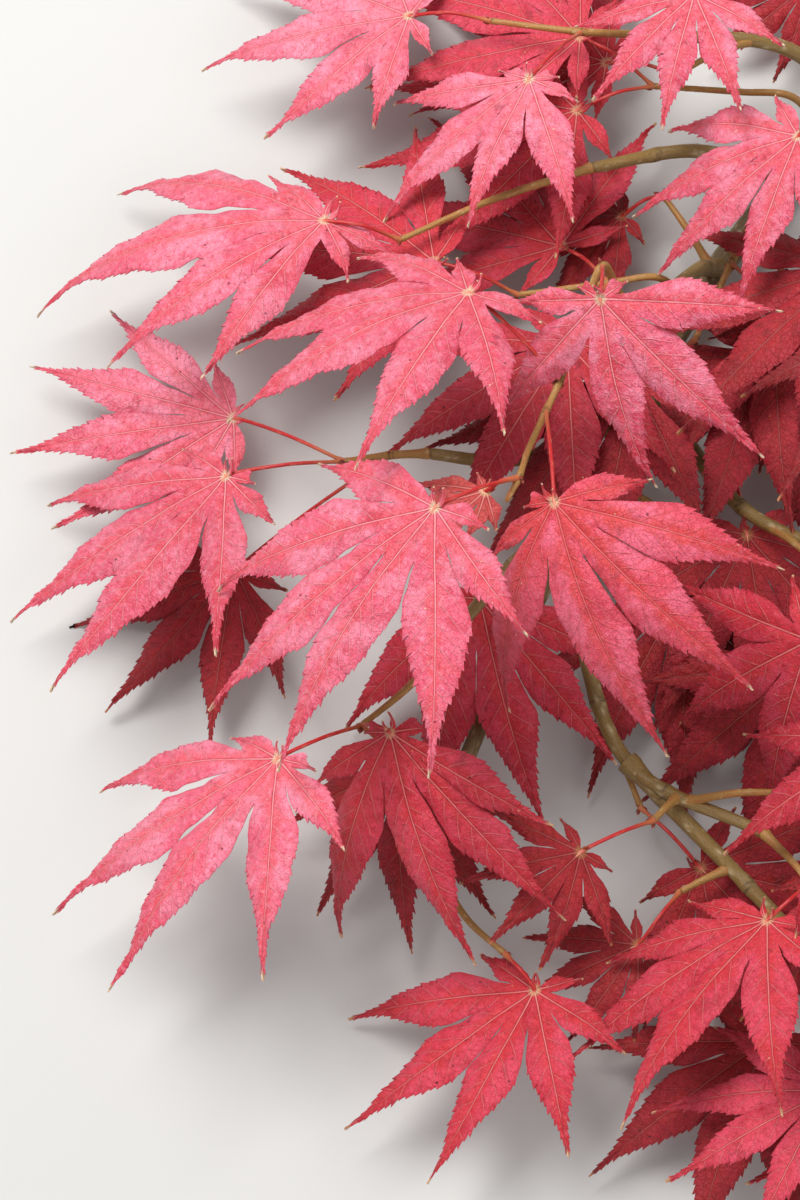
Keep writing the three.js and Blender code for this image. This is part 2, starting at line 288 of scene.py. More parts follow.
def linear(red: int, green: int, blue: int) -> Colour:
    """A colour in linear light from its 8-bit screen values."""
    return tuple(
        c / 12.92 if c <= 0.04045 else ((c + 0.055) / 1.055) ** 2.4
        for c in (red / 255, green / 255, blue / 255)
    )


@dataclass(frozen=True)
class LeafFinish:
    """The look of a leaf's face in one autumn tint.

    Its coordinates come from the blade. The attribute rib holds the share of the way along a
    lobe, the distance across from its rib, signed, and the distance from the leaf's base.
    The attribute leaf holds a place on the flat leaf and how near the margin it is. Patches
    scales the dark marks, glow the warm tint along the ribs, relief the fine bumps, and
    softness the light that passes through.
    """

    name: str
    body: Colour
    light: Colour
    warm: Colour
    deep: Colour
    blotch: Colour
    vein: Colour
    tip: Colour
    patches: float = 1.0
    glow: float = 0.7
    relief: float = 1.0
    roughness: float = 0.48
    sheen: float = 0.06
    softness: float = 0.16

    def build(self) -> bpy.types.Material:
        """Makes the material.

        Returns:
            The material, with every pattern in the leaf's own coordinates.
        """
        graph = Graph(self.name)
        leaf = graph.attribute("leaf")
        share, across, reach = graph.parts(graph.attribute("rib"))
        _, _, rim = graph.parts(leaf)
        flat = graph.scaled(leaf, (1.0, 1.0, 0.0))
        flipped = graph.scaled(leaf, (1.0, -1.0, 0.0))
        mirrored = graph.scaled(leaf, (-1.0, 1.0, 0.0))
        aside = abs(across)

        cloud = graph.noise(flat, 0.085, 2.0)
        drift = graph.noise(flipped, 0.16, 3.0, 0.6)
        stain = graph.noise(mirrored, 0.11, 3.0, 0.6)
        mood = graph.noise(flat, 0.007, 0.0)
        mottle = graph.noise(flat, 0.6, 4.0, 0.62)
        grain = graph.noise(flat, 2.8, 2.0, 0.6)
        uneven = mottle - 0.5

        ahead = reach - aside * VEIN_SLOPE - aside * aside * VEIN_BEND
        row = (ahead + (cloud - 0.5) * 3.0 + uneven * 0.5) / VEIN_GAP
        row = row + across.above(0.0) * 0.5
        from_vein = abs(row.fraction() - 0.5) * VEIN_GAP
        settled = reach.ramp(4.0, 12.0) * rim.ramp(1.0, 0.6) * aside.ramp(0.15, 0.7)
        side_vein = from_vein.ramp(0.3, 0.06) * settled
        # Painted shade in the creases along each side vein.
        shade_beside_vein = from_vein.ramp(1.3, 0.25) * settled
        lace = graph.cells(flat, 0.8, "DISTANCE_TO_EDGE").ramp(0.08, 0.0) * aside.ramp(0.2, 0.8)
        from_rib = aside / (1.0 - share * 0.6)
        rib_line = from_rib.ramp(0.26, 0.16)

        patch = (cloud + uneven * 0.3).ramp(0.4, 0.62)
        coral = (drift + from_rib.ramp(4.2, 0.4) * 0.28 + uneven * 0.3).ramp(0.5, 0.78)
        smudge = graph.noise(flat, 0.2, 3.0, 0.65).ramp(0.6, 0.72) * grain.ramp(0.2, 0.6)
        smudge = smudge * reach.ramp(44.0, 12.0)
        speck = graph.cells(flat, 0.24).ramp(0.09, 0.05) * cloud.ramp(0.46, 0.54)
        fleck = graph.cells(flat, 0.33).ramp(0.075, 0.04) * drift.ramp(0.5, 0.58)
        colour = graph.layered(
            self.body,
            (patch * 0.5, self.light),
            (coral * self.glow, self.warm),
            (mood.ramp(0.52, 0.75) * 0.5, self.light),
            (mood.ramp(0.48, 0.28) * 0.5, self.deep),
            # Darker towards the lobe tips: the leaf's own deeper red, with painted shade where the
            # tips droop.
            (share.ramp(0.45, 0.92) * 0.5, self.deep),
            (stain.ramp(0.54, 0.7) * 0.5, self.deep),
            # Fine mottling and grain: the leaf's own dapples, the light ones partly painted
            # highlights on its crinkles.
            (mottle.ramp(0.5, 0.68) * 0.34, self.light),
            (mottle.ramp(0.48, 0.32) * 0.5, self.deep),
            (grain.ramp(0.5, 0.36) * 0.3, self.deep),
            (grain.ramp(0.54, 0.66) * 0.26, self.light),
            (smudge * (0.55 * self.patches), self.blotch),
            # Painted shade beside the side veins.
            (shade_beside_vein * 0.1, self.deep),
            (lace * 0.14, self.vein),
            (side_vein * 0.4, self.vein),
            (rim.ramp(0.86, 1.0) * 0.3, self.deep),
            # Painted shade in the groove beside each rib.
            (from_rib.ramp(0.6, 0.3) * 0.6, self.deep),
            (rib_line * (0.85 - share * 0.3), self.vein),
            (speck * (0.8 * self.patches), self.blotch),
            # Tiny pale flecks: painted glints scattered over the face.
            (fleck * 0.7, self.tip),
            ((share + uneven * 0.02).ramp(0.955, 0.985) * 0.85, self.tip),
            (reach.ramp(1.7, 0.6) * 0.8, self.tip),
        )

        height = mottle * 0.55 + grain * 0.3 + lace * 0.15 + side_vein * 0.2 + rib_line * 0.9
        shine = self.roughness + (grain - 0.5) * 0.2 - rib_line * 0.08 + smudge * 0.1
        return graph.finish(
            {
                "Base Color": colour,
                "Roughness": shine,
                "Normal": graph.bump(height, 0.7 * self.relief),
                "Specular IOR Level": 0.34,
                "Sheen Weight": self.sheen,
                "Sheen Roughness": 0.45,
                "Sheen Tint": (1.0, 0.82, 0.86, 1.0),
                "Subsurface Weight": self.softness,
                "Subsurface Radius": (1.0, 0.25, 0.2),
                "Subsurface Scale": 0.0016,
            }
        )

    def underside(self) -> LeafFinish:
        """The same tint on the paler, duller lower face."""
        return LeafFinish(
            name=self.name + "_under",
            body=blend(self.body, UNDERSIDE, 0.3),
            light=blend(self.light, UNDERSIDE, 0.42),
            warm=blend(self.warm, UNDERSIDE, 0.2),
            deep=blend(self.deep, UNDERSIDE, 0.16),
            blotch=self.blotch,
            vein=blend(self.vein, UNDERSIDE, 0.3),
            tip=self.tip,
            patches=0.5,
            relief=1.7,
            roughness=0.66,
            sheen=0.4,
            softness=0.0,
        )


def blend(first: Colour, second: Colour, share: float) -> Colour:
    """A colour so far on the way from the first to the second."""
    return tuple(a + (b - a) * share for a, b in zip(first, second))


UNDERSIDE = linear(214, 138, 134)
LEAF_TINTS = {
    Tone.ROSE: LeafFinish(
        "leaf_rose",
        body=linear(235, 97, 123),
        light=linear(251, 160, 183),
        warm=linear(230, 82, 88),
        deep=linear(184, 32, 56),
        blotch=linear(106, 34, 52),
        vein=linear(250, 160, 164),
        tip=linear(232, 206, 168),
    ),
    Tone.RUBY: LeafFinish(
        "leaf_ruby",
        body=linear(222, 74, 94),
        light=linear(243, 122, 148),
        warm=linear(212, 62, 58),
        deep=linear(168, 28, 46),
        blotch=linear(96, 30, 46),
        vein=linear(236, 112, 108),
        tip=linear(232, 196, 158),
        glow=0.9,
    ),
    Tone.CRIMSON: LeafFinish(
        "leaf_crimson",
        body=linear(206, 44, 66),
        light=linear(228, 78, 104),
        warm=linear(208, 42, 44),
        deep=linear(152, 12, 28),
        blotch=linear(84, 24, 36),
        vein=linear(236, 130, 126),
        tip=linear(222, 176, 130),
    ),
    # Painted shade: the low leaves, the layers and the infill get this darker red in place of their
    # shade.
    Tone.SHADED_WINE: LeafFinish(
        "leaf_wine_shaded",
        body=linear(158, 22, 36),
        light=linear(184, 42, 56),
        warm=linear(168, 28, 22),
        deep=linear(112, 8, 16),
        blotch=linear(60, 16, 20),
        vein=linear(192, 80, 76),
        tip=linear(186, 124, 74),
        softness=0.0,
    ),
    Tone.SALMON: LeafFinish(
        "leaf_salmon",
        body=linear(196, 72, 76),
        light=linear(216, 108, 104),
        warm=linear(200, 72, 58),
        deep=linear(150, 36, 40),
        blotch=linear(62, 22, 24),
        vein=linear(226, 136, 124),
        tip=linear(222, 190, 140),
        patches=1.4,
    ),
}


@dataclass(frozen=True)
class BarkFinish:
    """Thin bark on green wood.

    The attribute grain holds the distance along the limb and a place on its round section,
    and the attribute marks holds pores, rings and how young the wood is.
    """

    name: str
    old: Colour
    young: Colour
    streak: Colour
    pore: Colour
    ring: Colour

    def build(self) -> bpy.types.Material:
        """Makes the material.

        Returns:
            The material, streaked along the limb.
        """
        graph = Graph(self.name)
        grain = graph.attribute("grain")
        pores, rings, youth = graph.parts(graph.attribute("marks"))
        drawn = graph.scaled(grain, (0.12, 1.0, 1.0))
        streak = graph.noise(drawn, 1.5, 4.0, 0.65)
        patch = graph.noise(grain, 0.16, 3.0)
        fine = graph.noise(graph.scaled(grain, (0.5, 1.0, 1.0)), 4.5, 2.0)
        colour = graph.layered(
            self.old,
            ((youth + (patch - 0.5) * 0.5).ramp(0.2, 0.85), self.young),
            (streak.ramp(0.45, 0.72) * 0.6, self.streak),
            (fine.ramp(0.55, 0.3) * 0.4, self.ring),
            (rings * 0.75, self.ring),
            (pores * 0.8, self.pore),
        )
        height = streak * 0.6 + fine * 0.35 + pores * 0.5
        return graph.finish(
            {
                "Base Color": colour,
                "Roughness": 0.62 - youth * 0.14 + (fine - 0.5) * 0.2,
                "Normal": graph.bump(height, 0.22),
                "Specular IOR Level": 0.4,
            }
        )


@dataclass(frozen=True)
class StalkFinish:
    """The smooth skin of a petiole, redder towards the blade."""

    name: str
    twig_end: Colour
    middle: Colour
    blade_end: Colour

    def build(self) -> bpy.types.Material:
        """Makes the material, whose colour runs along the stalk."""
        graph = Graph(self.name)
        grain = graph.attribute("grain")
        _, _, along = graph.parts(graph.attribute("marks"))
        drawn = graph.noise(graph.scaled(grain, (0.25, 1.0, 1.0)), 2.2, 3.0)
        uneven = drawn - 0.5
        colour = graph.layered(
            self.twig_end,
            ((along + uneven * 0.2).ramp(0.0, 0.4), self.middle),
            ((along + uneven * 0.1).ramp(0.86, 1.0), self.blade_end),
            (drawn.ramp(0.55, 0.75) * 0.35, self.blade_end),
        )
        return graph.finish(
            {
                "Base Color": colour,
                "Roughness": 0.42 + uneven * 0.2,
                "Normal": graph.bump(drawn, 0.12),
                "Subsurface Weight": 0.1,
                "Subsurface Radius": (1.0, 0.3, 0.2),
                "Subsurface Scale": 0.001,
            }
        )


@dataclass(frozen=True)
class WoodFinish:
    """The flat cut across the stem, with its pith and growth rings."""

    name: str
    sapwood: Colour
    ring: Colour
    pith: Colour

    def build(self) -> bpy.types.Material:
        """Makes the material, ringed by the distance from the pith."""
        graph = Graph(self.name)
        _, _, radius = graph.parts(graph.attribute("grain"))
        flecks = graph.noise(graph.attribute("grain"), 3.0, 3.0)
        rings = abs((radius * 0.9 + (flecks - 0.5) * 0.2).fraction() - 0.5).ramp(0.12, 0.0)
        colour = graph.layered(
            self.sapwood,
            (rings * 0.6, self.ring),
            (flecks.ramp(0.6, 0.8) * 0.3, self.ring),
            (radius.ramp(0.75, 0.45), self.pith),
        )
        return graph.finish(
            {
                "Base Color": colour,
                "Roughness": 0.74 + (flecks - 0.5) * 0.15,
                "Normal": graph.bump(flecks - rings * 0.4, 0.15),
            }
        )


BARK = BarkFinish(
    "bark",
    old=linear(104, 88, 62),
    young=linear(142, 112, 58),
    streak=linear(156, 138, 104),
    pore=linear(204, 184, 146),
    ring=linear(66, 46, 34),
)
TWIG_BARK = BarkFinish(
    "twig_bark",
    old=linear(126, 96, 54),
    young=linear(172, 128, 66),
    streak=linear(186, 92, 58),
    pore=linear(214, 190, 138),
    ring=linear(84, 46, 34),
)
STALK = StalkFinish(
    "stalk",
    twig_end=linear(186, 104, 62),
    middle=linear(186, 34, 36),
    blade_end=linear(228, 148, 120),
)
BUD = BarkFinish(
    "bud",
    old=linear(112, 34, 30),
    young=linear(150, 58, 40),
    streak=linear(178, 104, 66),
    pore=linear(206, 164, 116),
    ring=linear(56, 22, 20),
)
CUT_WOOD = WoodFinish(
    "cut_wood",
    sapwood=linear(226, 204, 158),
    ring=linear(186, 154, 104),
    pith=linear(132, 98, 66),
)


# Curves and meshes


@dataclass(frozen=True)
class Curve:
    """A centripetal Catmull-Rom curve through points, in millimetres."""

    points: tuple[Place, ...]

    def at(self, share: float) -> Points:
        """The place at a share of the way, counted by points.

        Args:
            share: From 0 at the first point to 1 at the last.

        Returns:
            The place.
        """
        points = np.asarray(self.points, float)
        last = len(points) - 1
        first = min(int(share * last), last - 1)
        weight = share * last - first
        start, end = points[first], points[first + 1]
        before = points[first - 1] if first > 0 else 2 * start - end
        after = points[first + 2] if first + 2 <= last else 2 * end - start
        stops = (before, start, end, after)
        gaps = [np.sum((b - a) ** 2) ** 0.25 for a, b in zip(stops, stops[1:])]
        leave = (start - before) / gaps[0] - (end - before) / (gaps[0] + gaps[1])
        leave = (leave + (end - start) / gaps[1]) * gaps[1]
        arrive = (end - start) / gaps[1] - (after - start) / (gaps[1] + gaps[2])
        arrive = (arrive + (after - end) / gaps[2]) * gaps[1]
        square = 3 * (end - start) - 2 * leave - arrive
        cube = 2 * (start - end) + leave + arrive
        return start + leave * weight + square * weight**2 + cube * weight**3

    def length(self) -> float:
        """The curve's length."""
        return float(self._lengths()[1][-1])

    def _lengths(self) -> tuple[Points, Points]:
        """Evenly counted shares, and the length up to each."""
        shares = np.linspace(0, 1, ARC_DIVISIONS + 1)
        places = np.array([self.at(share) for share in shares])
        steps = np.linalg.norm(np.diff(places, axis=0), axis=1)
        return shares, np.concatenate([[0.0], np.cumsum(steps)])

    def spaced(self, shares: Points | Sequence[float]) -> Points:
        """The places at shares of the curve's length.

        Args:
            shares: From 0 at the first point to 1 at the last.

        Returns:
            One row for each share.
        """
        counted, lengths = self._lengths()
        found = np.interp(np.asarray(shares) * lengths[-1], lengths, counted)
        return np.array([self.at(share) for share in found])


class Draft:
    """Closed skins collected for one piece, in the layout's millimetres."""

    def __init__(self) -> None:
        """Starts with nothing."""
        self.points: list[Points] = []
        self.faces: list[Points] = []
        self.finishes: list[Points] = []
        self.corners: dict[str, list[Points]] = {}
        self.count = 0

    def add(self, points: Points, faces: Points, finish: Points, **corners: Points) -> None:
        """Adds a skin.

        Args:
            points: One row for each point.
            faces: Four point numbers a face, the last two alike on a triangle.
            finish: Each face's material number.
            **corners: Attributes, four rows of three for each face.
        """
        self.points.append(points)
        self.faces.append(faces + self.count)
        self.finishes.append(finish)
        for name, values in corners.items():
            self.corners.setdefault(name, []).append(values.reshape(-1, 4, 3))
        self.count += len(points)

    def piece(
        self, name: str, shift: Points, finishes: Sequence[bpy.types.Material]
    ) -> bpy.types.Object:
        """Makes the object.

        Args:
            name: The piece's name.
            shift: From the layout to the frame, in millimetres.
            finishes: The materials, in the order of their numbers.

        Returns:
            The linked object.
        """
        faces = np.concatenate(self.faces)
        three = faces[:, 2] == faces[:, 3]
        keep = np.ones(faces.shape, bool)
        keep[three, 3] = False
        rows = [row[:3] if short else row for row, short in zip(faces.tolist(), three)]
        mesh = bpy.data.meshes.new(name)
        places = (np.concatenate(self.points) + shift) * MM
        places[:, 2] = np.maximum(places[:, 2], FLOOR_CLEARANCE * MM)
        mesh.from_pydata(places.tolist(), [], rows)
        for material in finishes:
            mesh.materials.append(material)
        mesh.polygons.foreach_set("material_index", np.concatenate(self.finishes))
        mesh.polygons.foreach_set("use_smooth", np.ones(len(rows), bool))
        for label, values in self.corners.items():
            attribute = mesh.attributes.new(label, "FLOAT_VECTOR", "CORNER")
            attribute.data.foreach_set("vector", np.concatenate(values)[keep].ravel())
        mesh.set_sharp_from_angle(angle=math.radians(SHARP_DEGREES))
        mesh.update()
        made = bpy.data.objects.new(name, mesh)
        bpy.context.scene.collection.objects.link(made)
        return made


def grid_faces(rows: int, columns: int, closed: bool) -> Points:
    """The quads of a grid of points, numbered row by row.

    Args:
        rows: How many rows of points.
        columns: How many points in a row.
        closed: Whether the last column meets the first.

    Returns:
        Four point numbers for each face, facing up where columns run right and rows ahead.
    """
    across = np.arange(columns if closed else columns - 1)
    start = np.arange(rows - 1)[:, None] * columns
    here = start + across
    right = start + (across + 1) % columns
    return np.stack([here, right, right + columns, here + columns], -1).reshape(-1, 4)


def ease(values: Points | float, low: float, high: float) -> Points:
    """A smooth rise from 0 at low to 1 at high."""
    share = np.clip((np.asarray(values) - low) / (high - low), 0, 1)
    return share * share * (3 - 2 * share)


@dataclass(frozen=True)
class Round:
    """A limb's round skin, swept along a curve, with a rounded or a flat end.

    Lengths are millimetres. The radius function takes the length along, and the relief
    function takes the length along and the angle round, and gives what stands out.
    """

    curve: Curve
    radius: Callable[[Points], Points]
    sides: int
    pitch: float
    relief: Callable[[Points, Points], Points] | None = None
    marks: Callable[[Points, Points], Points] | None = None
    cut_finish: int | None = None
    dome: float = 0.4
    cut_rings: int = 12

    def frames(self, stations: Points) -> tuple[Points, Points, Points]:
        """Places along the curve, with two directions across it that don't twist."""
        length = self.curve.length()
        places = self.curve.spaced(stations / length)
        ahead = np.gradient(places, axis=0)
        ahead /= np.linalg.norm(ahead, axis=1)[:, None]
        first = np.cross(ahead[0], (0.0, 0.0, 1.0) if abs(ahead[0][2]) < 0.9 else (1.0, 0.0, 0.0))
        side = [first / np.linalg.norm(first)]
        for direction in ahead[1:]:
            kept = side[-1] - direction * np.dot(side[-1], direction)
            side.append(kept / np.linalg.norm(kept))
        sideways = np.array(side)
        return places, sideways, np.cross(ahead, sideways)

    def add_to(self, draft: Draft, finish: int) -> None:
        """Adds the skin to a draft.

        Args:
            draft: The piece that it goes to.
            finish: The material number of its side and of its rounded ends.
        """
        length = self.curve.length()
        count = max(4, round(length / self.pitch))
        stations = np.linspace(0, length, count + 1)
        places, side, up = self.frames(stations)
        angles = np.arange(self.sides) * 2 * math.pi / self.sides
        along, around = np.meshgrid(stations, angles, indexing="ij")
        radius = self.radius(along)
        if self.relief:
            radius = radius + self.relief(along, around)
        outward = np.cos(around)[..., None] * side[:, None] + np.sin(around)[..., None] * up[:, None]
        rings = places[:, None] + outward * radius[..., None]
        turned = np.stack([along, np.cos(around) * radius, np.sin(around) * radius], -1)
        marks = self.marks(along, around) if self.marks else np.zeros(turned.shape)
        points = rings.reshape(-1, 3)
        faces = grid_faces(count + 1, self.sides, True)[:, ::-1]
        foot_lead = 0.0 if self.cut_finish is not None else self.dome
        foot = places[0] + self.unit(places[0] - places[1]) * foot_lead
        tip = places[-1] + self.unit(places[-1] - places[-2]) * self.dome
        ends = np.array([[0.0, 0.0, 0.0], [length, 0.0, 0.0]])
        turned = np.concatenate([turned.reshape(-1, 3), ends])
        marked = np.concatenate([marks.reshape(-1, 3), marks[0, :1], marks[-1, :1]])
        points = np.concatenate([points, [foot, tip]])
        last = count * self.sides
        edge = np.arange(self.sides)
        beyond = (edge + 1) % self.sides
        middle = np.full(self.sides, last + self.sides)
        foot_cap = np.stack([edge, beyond, middle, middle], -1)
        tip_cap = np.stack([last + beyond, last + edge, middle + 1, middle + 1], -1)
        kinds = np.full(len(faces) + self.sides, finish, np.int32)
        if self.cut_finish is not None:
            foot_cap, points, turned, marked = self.cut(rings[0], points, turned, marked)
        all_faces = np.concatenate([faces, tip_cap, foot_cap])
        foot_finish = finish if self.cut_finish is None else self.cut_finish
        kinds = np.concatenate([kinds, np.full(len(foot_cap), foot_finish, np.int32)])
        draft.add(points, all_faces, kinds, grain=turned[all_faces], marks=marked[all_faces])

    @staticmethod
    def unit(vector: Points) -> Points:
        """A vector of length 1."""
        return vector / np.linalg.norm(vector)

    def cut(self, ring: Points, points: Points, turned: Points, marked: Points) -> tuple[Points, ...]:
        """Closes the foot with a flat cut, in rings whose material reads their radius.

        Args:
            ring: The bark's first ring.
            points: All points so far.
            turned: Each point's grain.
            marked: Each point's marks.

        Returns:
            The cut's faces, and the three arrays with the cut's points added.
        """
        centre = ring.mean(axis=0)
        shares = np.linspace(1, 0, self.cut_rings + 1)[:-1]
        discs = centre + (ring - centre) * shares[:, None, None]
        reach = np.linalg.norm(discs - centre, axis=2)
        angles = np.arange(self.sides) * 2 * math.pi / self.sides
        grain = np.stack([np.cos(angles) * reach, np.sin(angles) * reach, reach], -1)
        start = len(points)
        faces = grid_faces(self.cut_rings, self.sides, True) + start
        inner = start + (self.cut_rings - 1) * self.sides + np.arange(self.sides)
        beyond = np.roll(inner, -1)
        middle = np.full(self.sides, start + discs.shape[0] * self.sides)
        faces = np.concatenate([faces, np.stack([inner, beyond, middle, middle], -1)])
        points = np.concatenate([points, discs.reshape(-1, 3), [centre]])
        turned = np.concatenate([turned, grain.reshape(-1, 3), np.zeros((1, 3))])
        marked = np.concatenate([marked, np.zeros((len(points) - start, 3))])
        return faces, points, turned, marked


# Leaves


@dataclass(frozen=True)
class Leaf:
    """Where one leaf hangs and how it lies, by the layout's rule.

    Lengths are millimetres and angles degrees. The leaf's own axes are +Y along its middle
    lobe and +Z out of its upper face, and its base is at the origin. Lean makes the lobes on
    the +X side longer, fan spreads those on the -X and the +X side, and turn is a last turn in
    its own plane. Lobes gives each lobe's angle and length outright, from the +X side round,
    and breadth widens them.
    """

    node: int
    at: Place
    heading: float
    pitch: float
    roll: float
    length: float
    droop: float
    lean: float = 0.0
    fan: tuple[float, float] = (1.0, 1.0)
    lobes: tuple[tuple[float, float], ...] | None = None
    tone: Tone | None = None
    turn: float = 0.0
    breadth: float = 1.0

    def matrix(self) -> Matrix:
        """Turns the leaf's own axes to the layout's."""
        turns = ((self.heading - 90, "Z"), (self.pitch, "X"), (self.roll, "Y"), (self.turn, "Z"))
        made = Matrix.Translation(self.at)
        for angle, axis in turns:
            made = made @ Matrix.Rotation(math.radians(angle), 4, axis)
        return made

    def place(self, flat: Points, lift: Points | float) -> Points:
        """Bends the flat leaf down along an arc and puts it where it hangs.

        Args:
            flat: Places on the flat leaf.
            lift: How far each stands out of it.

        Returns:
            Places in the layout.
        """
        curve = 2 * self.droop / self.length
        bent = curve * np.hypot(flat[..., 0], flat[..., 1])
        shrink = np.sinc(bent / math.pi)
        fall = lift - (1 - np.cos(bent)) / curve
        local = np.stack([flat[..., 0] * shrink, flat[..., 1] * shrink, fall], -1)
        matrix = np.array(self.matrix())
        return local @ matrix[:3, :3].T + matrix[:3, 3]


@dataclass(frozen=True)
class Lobe:
    """One lobe of a leaf, with what makes it differ from its neighbours."""

    angle: float
    length: float
    half_width: float
    sweep: float = 0.0
    twist: float = 0.0
    dip: float = 0.0
    curl: float = 0.0
    step: float = 0.0
    phases: tuple[float, float] = (0.0, 0.0)

    def middle(self, reach: Points) -> tuple[Points, Points]:
        """Places along the rib, and the direction across it there.

        Args:
            reach: Distances from the leaf's base.

        Returns:
            The places, and unit directions to the +X side.
        """
        bow = self.sweep * (reach / self.length) ** 2
        angle = self.angle + bow
        facing = self.angle + 3 * bow
        places = reach[..., None] * np.stack([np.sin(angle), np.cos(angle)], -1)
        return places, np.stack([np.cos(facing), -np.sin(facing)], -1)


@dataclass(frozen=True)
class Notch:
    """The foot of the gap between two lobes: its direction and its reach."""

    angle: float
    reach: float


@dataclass(frozen=True)
class Blade:
    """How every blade is cut and shaped. Sizes are shares of a length, or millimetres."""

    angles: tuple[float, ...] = (0, 33, 68, 108)
    reaches: tuple[float, ...] = (1, 0.95, 0.76, 0.3)
    slimness: tuple[float, ...] = (0.128, 0.13, 0.138, 0.172)
    outer_angle: float = 26
    outer_reach: float = 0.1
    full_lean_lobe: int = 2
    notch_share: float = 0.2
    widest: float = 0.38
    taper: float = 2.25
    tail_width: float = 0.6
    tail_share: float = 0.13
    slit: float = 0.14
    slit_growth: float = -0.002
    tooth_pitch: float = 1.65
    tooth_depth: float = 0.5
    tooth_reach: float = 0.5
    teeth_from: float = 0.33
    teeth_to: float = 0.97
    tooth_phases: tuple[float, ...] = (0.0, 0.42, 0.8)
    columns: tuple[float, ...] = (0.0, 0.1, 0.3, 0.56, 0.83, 1.0)
    palm_rows: int = 7
    plain_pitch: float = 1.7
    edge_drop: float = 0.15
    groove_depth: float = 0.34
    groove_width: float = 0.95
    quilt_depth: float = 0.38
    flutter: float = 0.42
    step: float = 0.35
    thickness: float = 0.34
    lobule_angle: float = 36
    lobule_length: float = 0.07
    lobule_spread: float = 30
    full_tooth_length: float = 32
    small_tooth: float = 0.58
    sweep: float = 3.5
    sweep_bias: float = 1.5
    twist: float = 7
    slit_start: float = 2
    limit_softness: float = 0.35
    steepest: float = 1.4
    wave_lengths: tuple[float, float] = (15.0, 6.5)
    hook_from: float = 0.78

    def profile(self, share: Points) -> Points:
        """A lobe's half width at a share of its length, as a share of its widest."""
        inner = self.taper * self.widest / (1 - self.widest)
        rise = (share / self.widest) ** inner
        return rise * ((1 - share) / (1 - self.widest)) ** self.taper

    def lobes(self, leaf: Leaf, random: np.random.Generator) -> list[Lobe]:
        """The seven lobes of a leaf, from its +X side round to its -X side."""
        made = []
        for index in (3, 2, 1, 0, -1, -2, -3):
            size = abs(index)
            sign = (index > 0) - (index < 0)
            if leaf.lobes:
                angle, length = leaf.lobes[3 - index]
            else:
                longer = 1 + leaf.lean * min(size / self.full_lean_lobe, 1) * sign
                angle = self.angles[size] * sign * (leaf.fan[1] if index > 0 else leaf.fan[0])
                length = self.reaches[size] * leaf.length * longer
            draws = random.uniform(-1, 1, 4)
            sweep = math.radians(self.sweep * draws[0] - self.sweep_bias * sign)
            made.append(
                Lobe(
                    angle=math.radians(angle) - (sweep if leaf.lobes else 0),
                    length=length,
                    half_width=self.slimness[size] * length * leaf.breadth,
                    sweep=sweep,
                    twist=math.radians(self.twist * draws[1]),
                    dip=0.03 * draws[2] + 0.01,
                    curl=0.035 * draws[3],
                    step=self.step * (1 if size % 2 == 0 else -1),
                    phases=tuple(random.uniform(0, 2 * math.pi, 2)),
                )
            )
        return made

    def notches(self, lobes: Sequence[Lobe], length: float) -> list[Notch]:
        """The feet of the gaps beside the lobes, from the outer +X edge to the outer -X edge."""
        outer = math.radians(self.outer_angle)
        made = [Notch(lobes[0].angle + outer, self.outer_reach * length)]
        for first, second in zip(lobes, lobes[1:]):
            reach = self.notch_share * math.sqrt(first.length * second.length)
            made.append(Notch((first.angle + second.angle) / 2, reach))
        made.append(Notch(lobes[-1].angle - outer, self.outer_reach * length))
        return made


@dataclass
class Grid:
    """A lobe's points in rows along it, with what its material reads."""

    flat: Points
    lift: Points
    rib: Points
    rim: Points

    def faces(self) -> Points:
        """Four point numbers a face. The first row is one point, so its faces have three."""
        rows, columns = self.rim.shape
        made = grid_faces(rows, columns, False)
        first = made[: columns - 1]
        first[:] = first[:, [2, 3, 0, 0]]
        return made


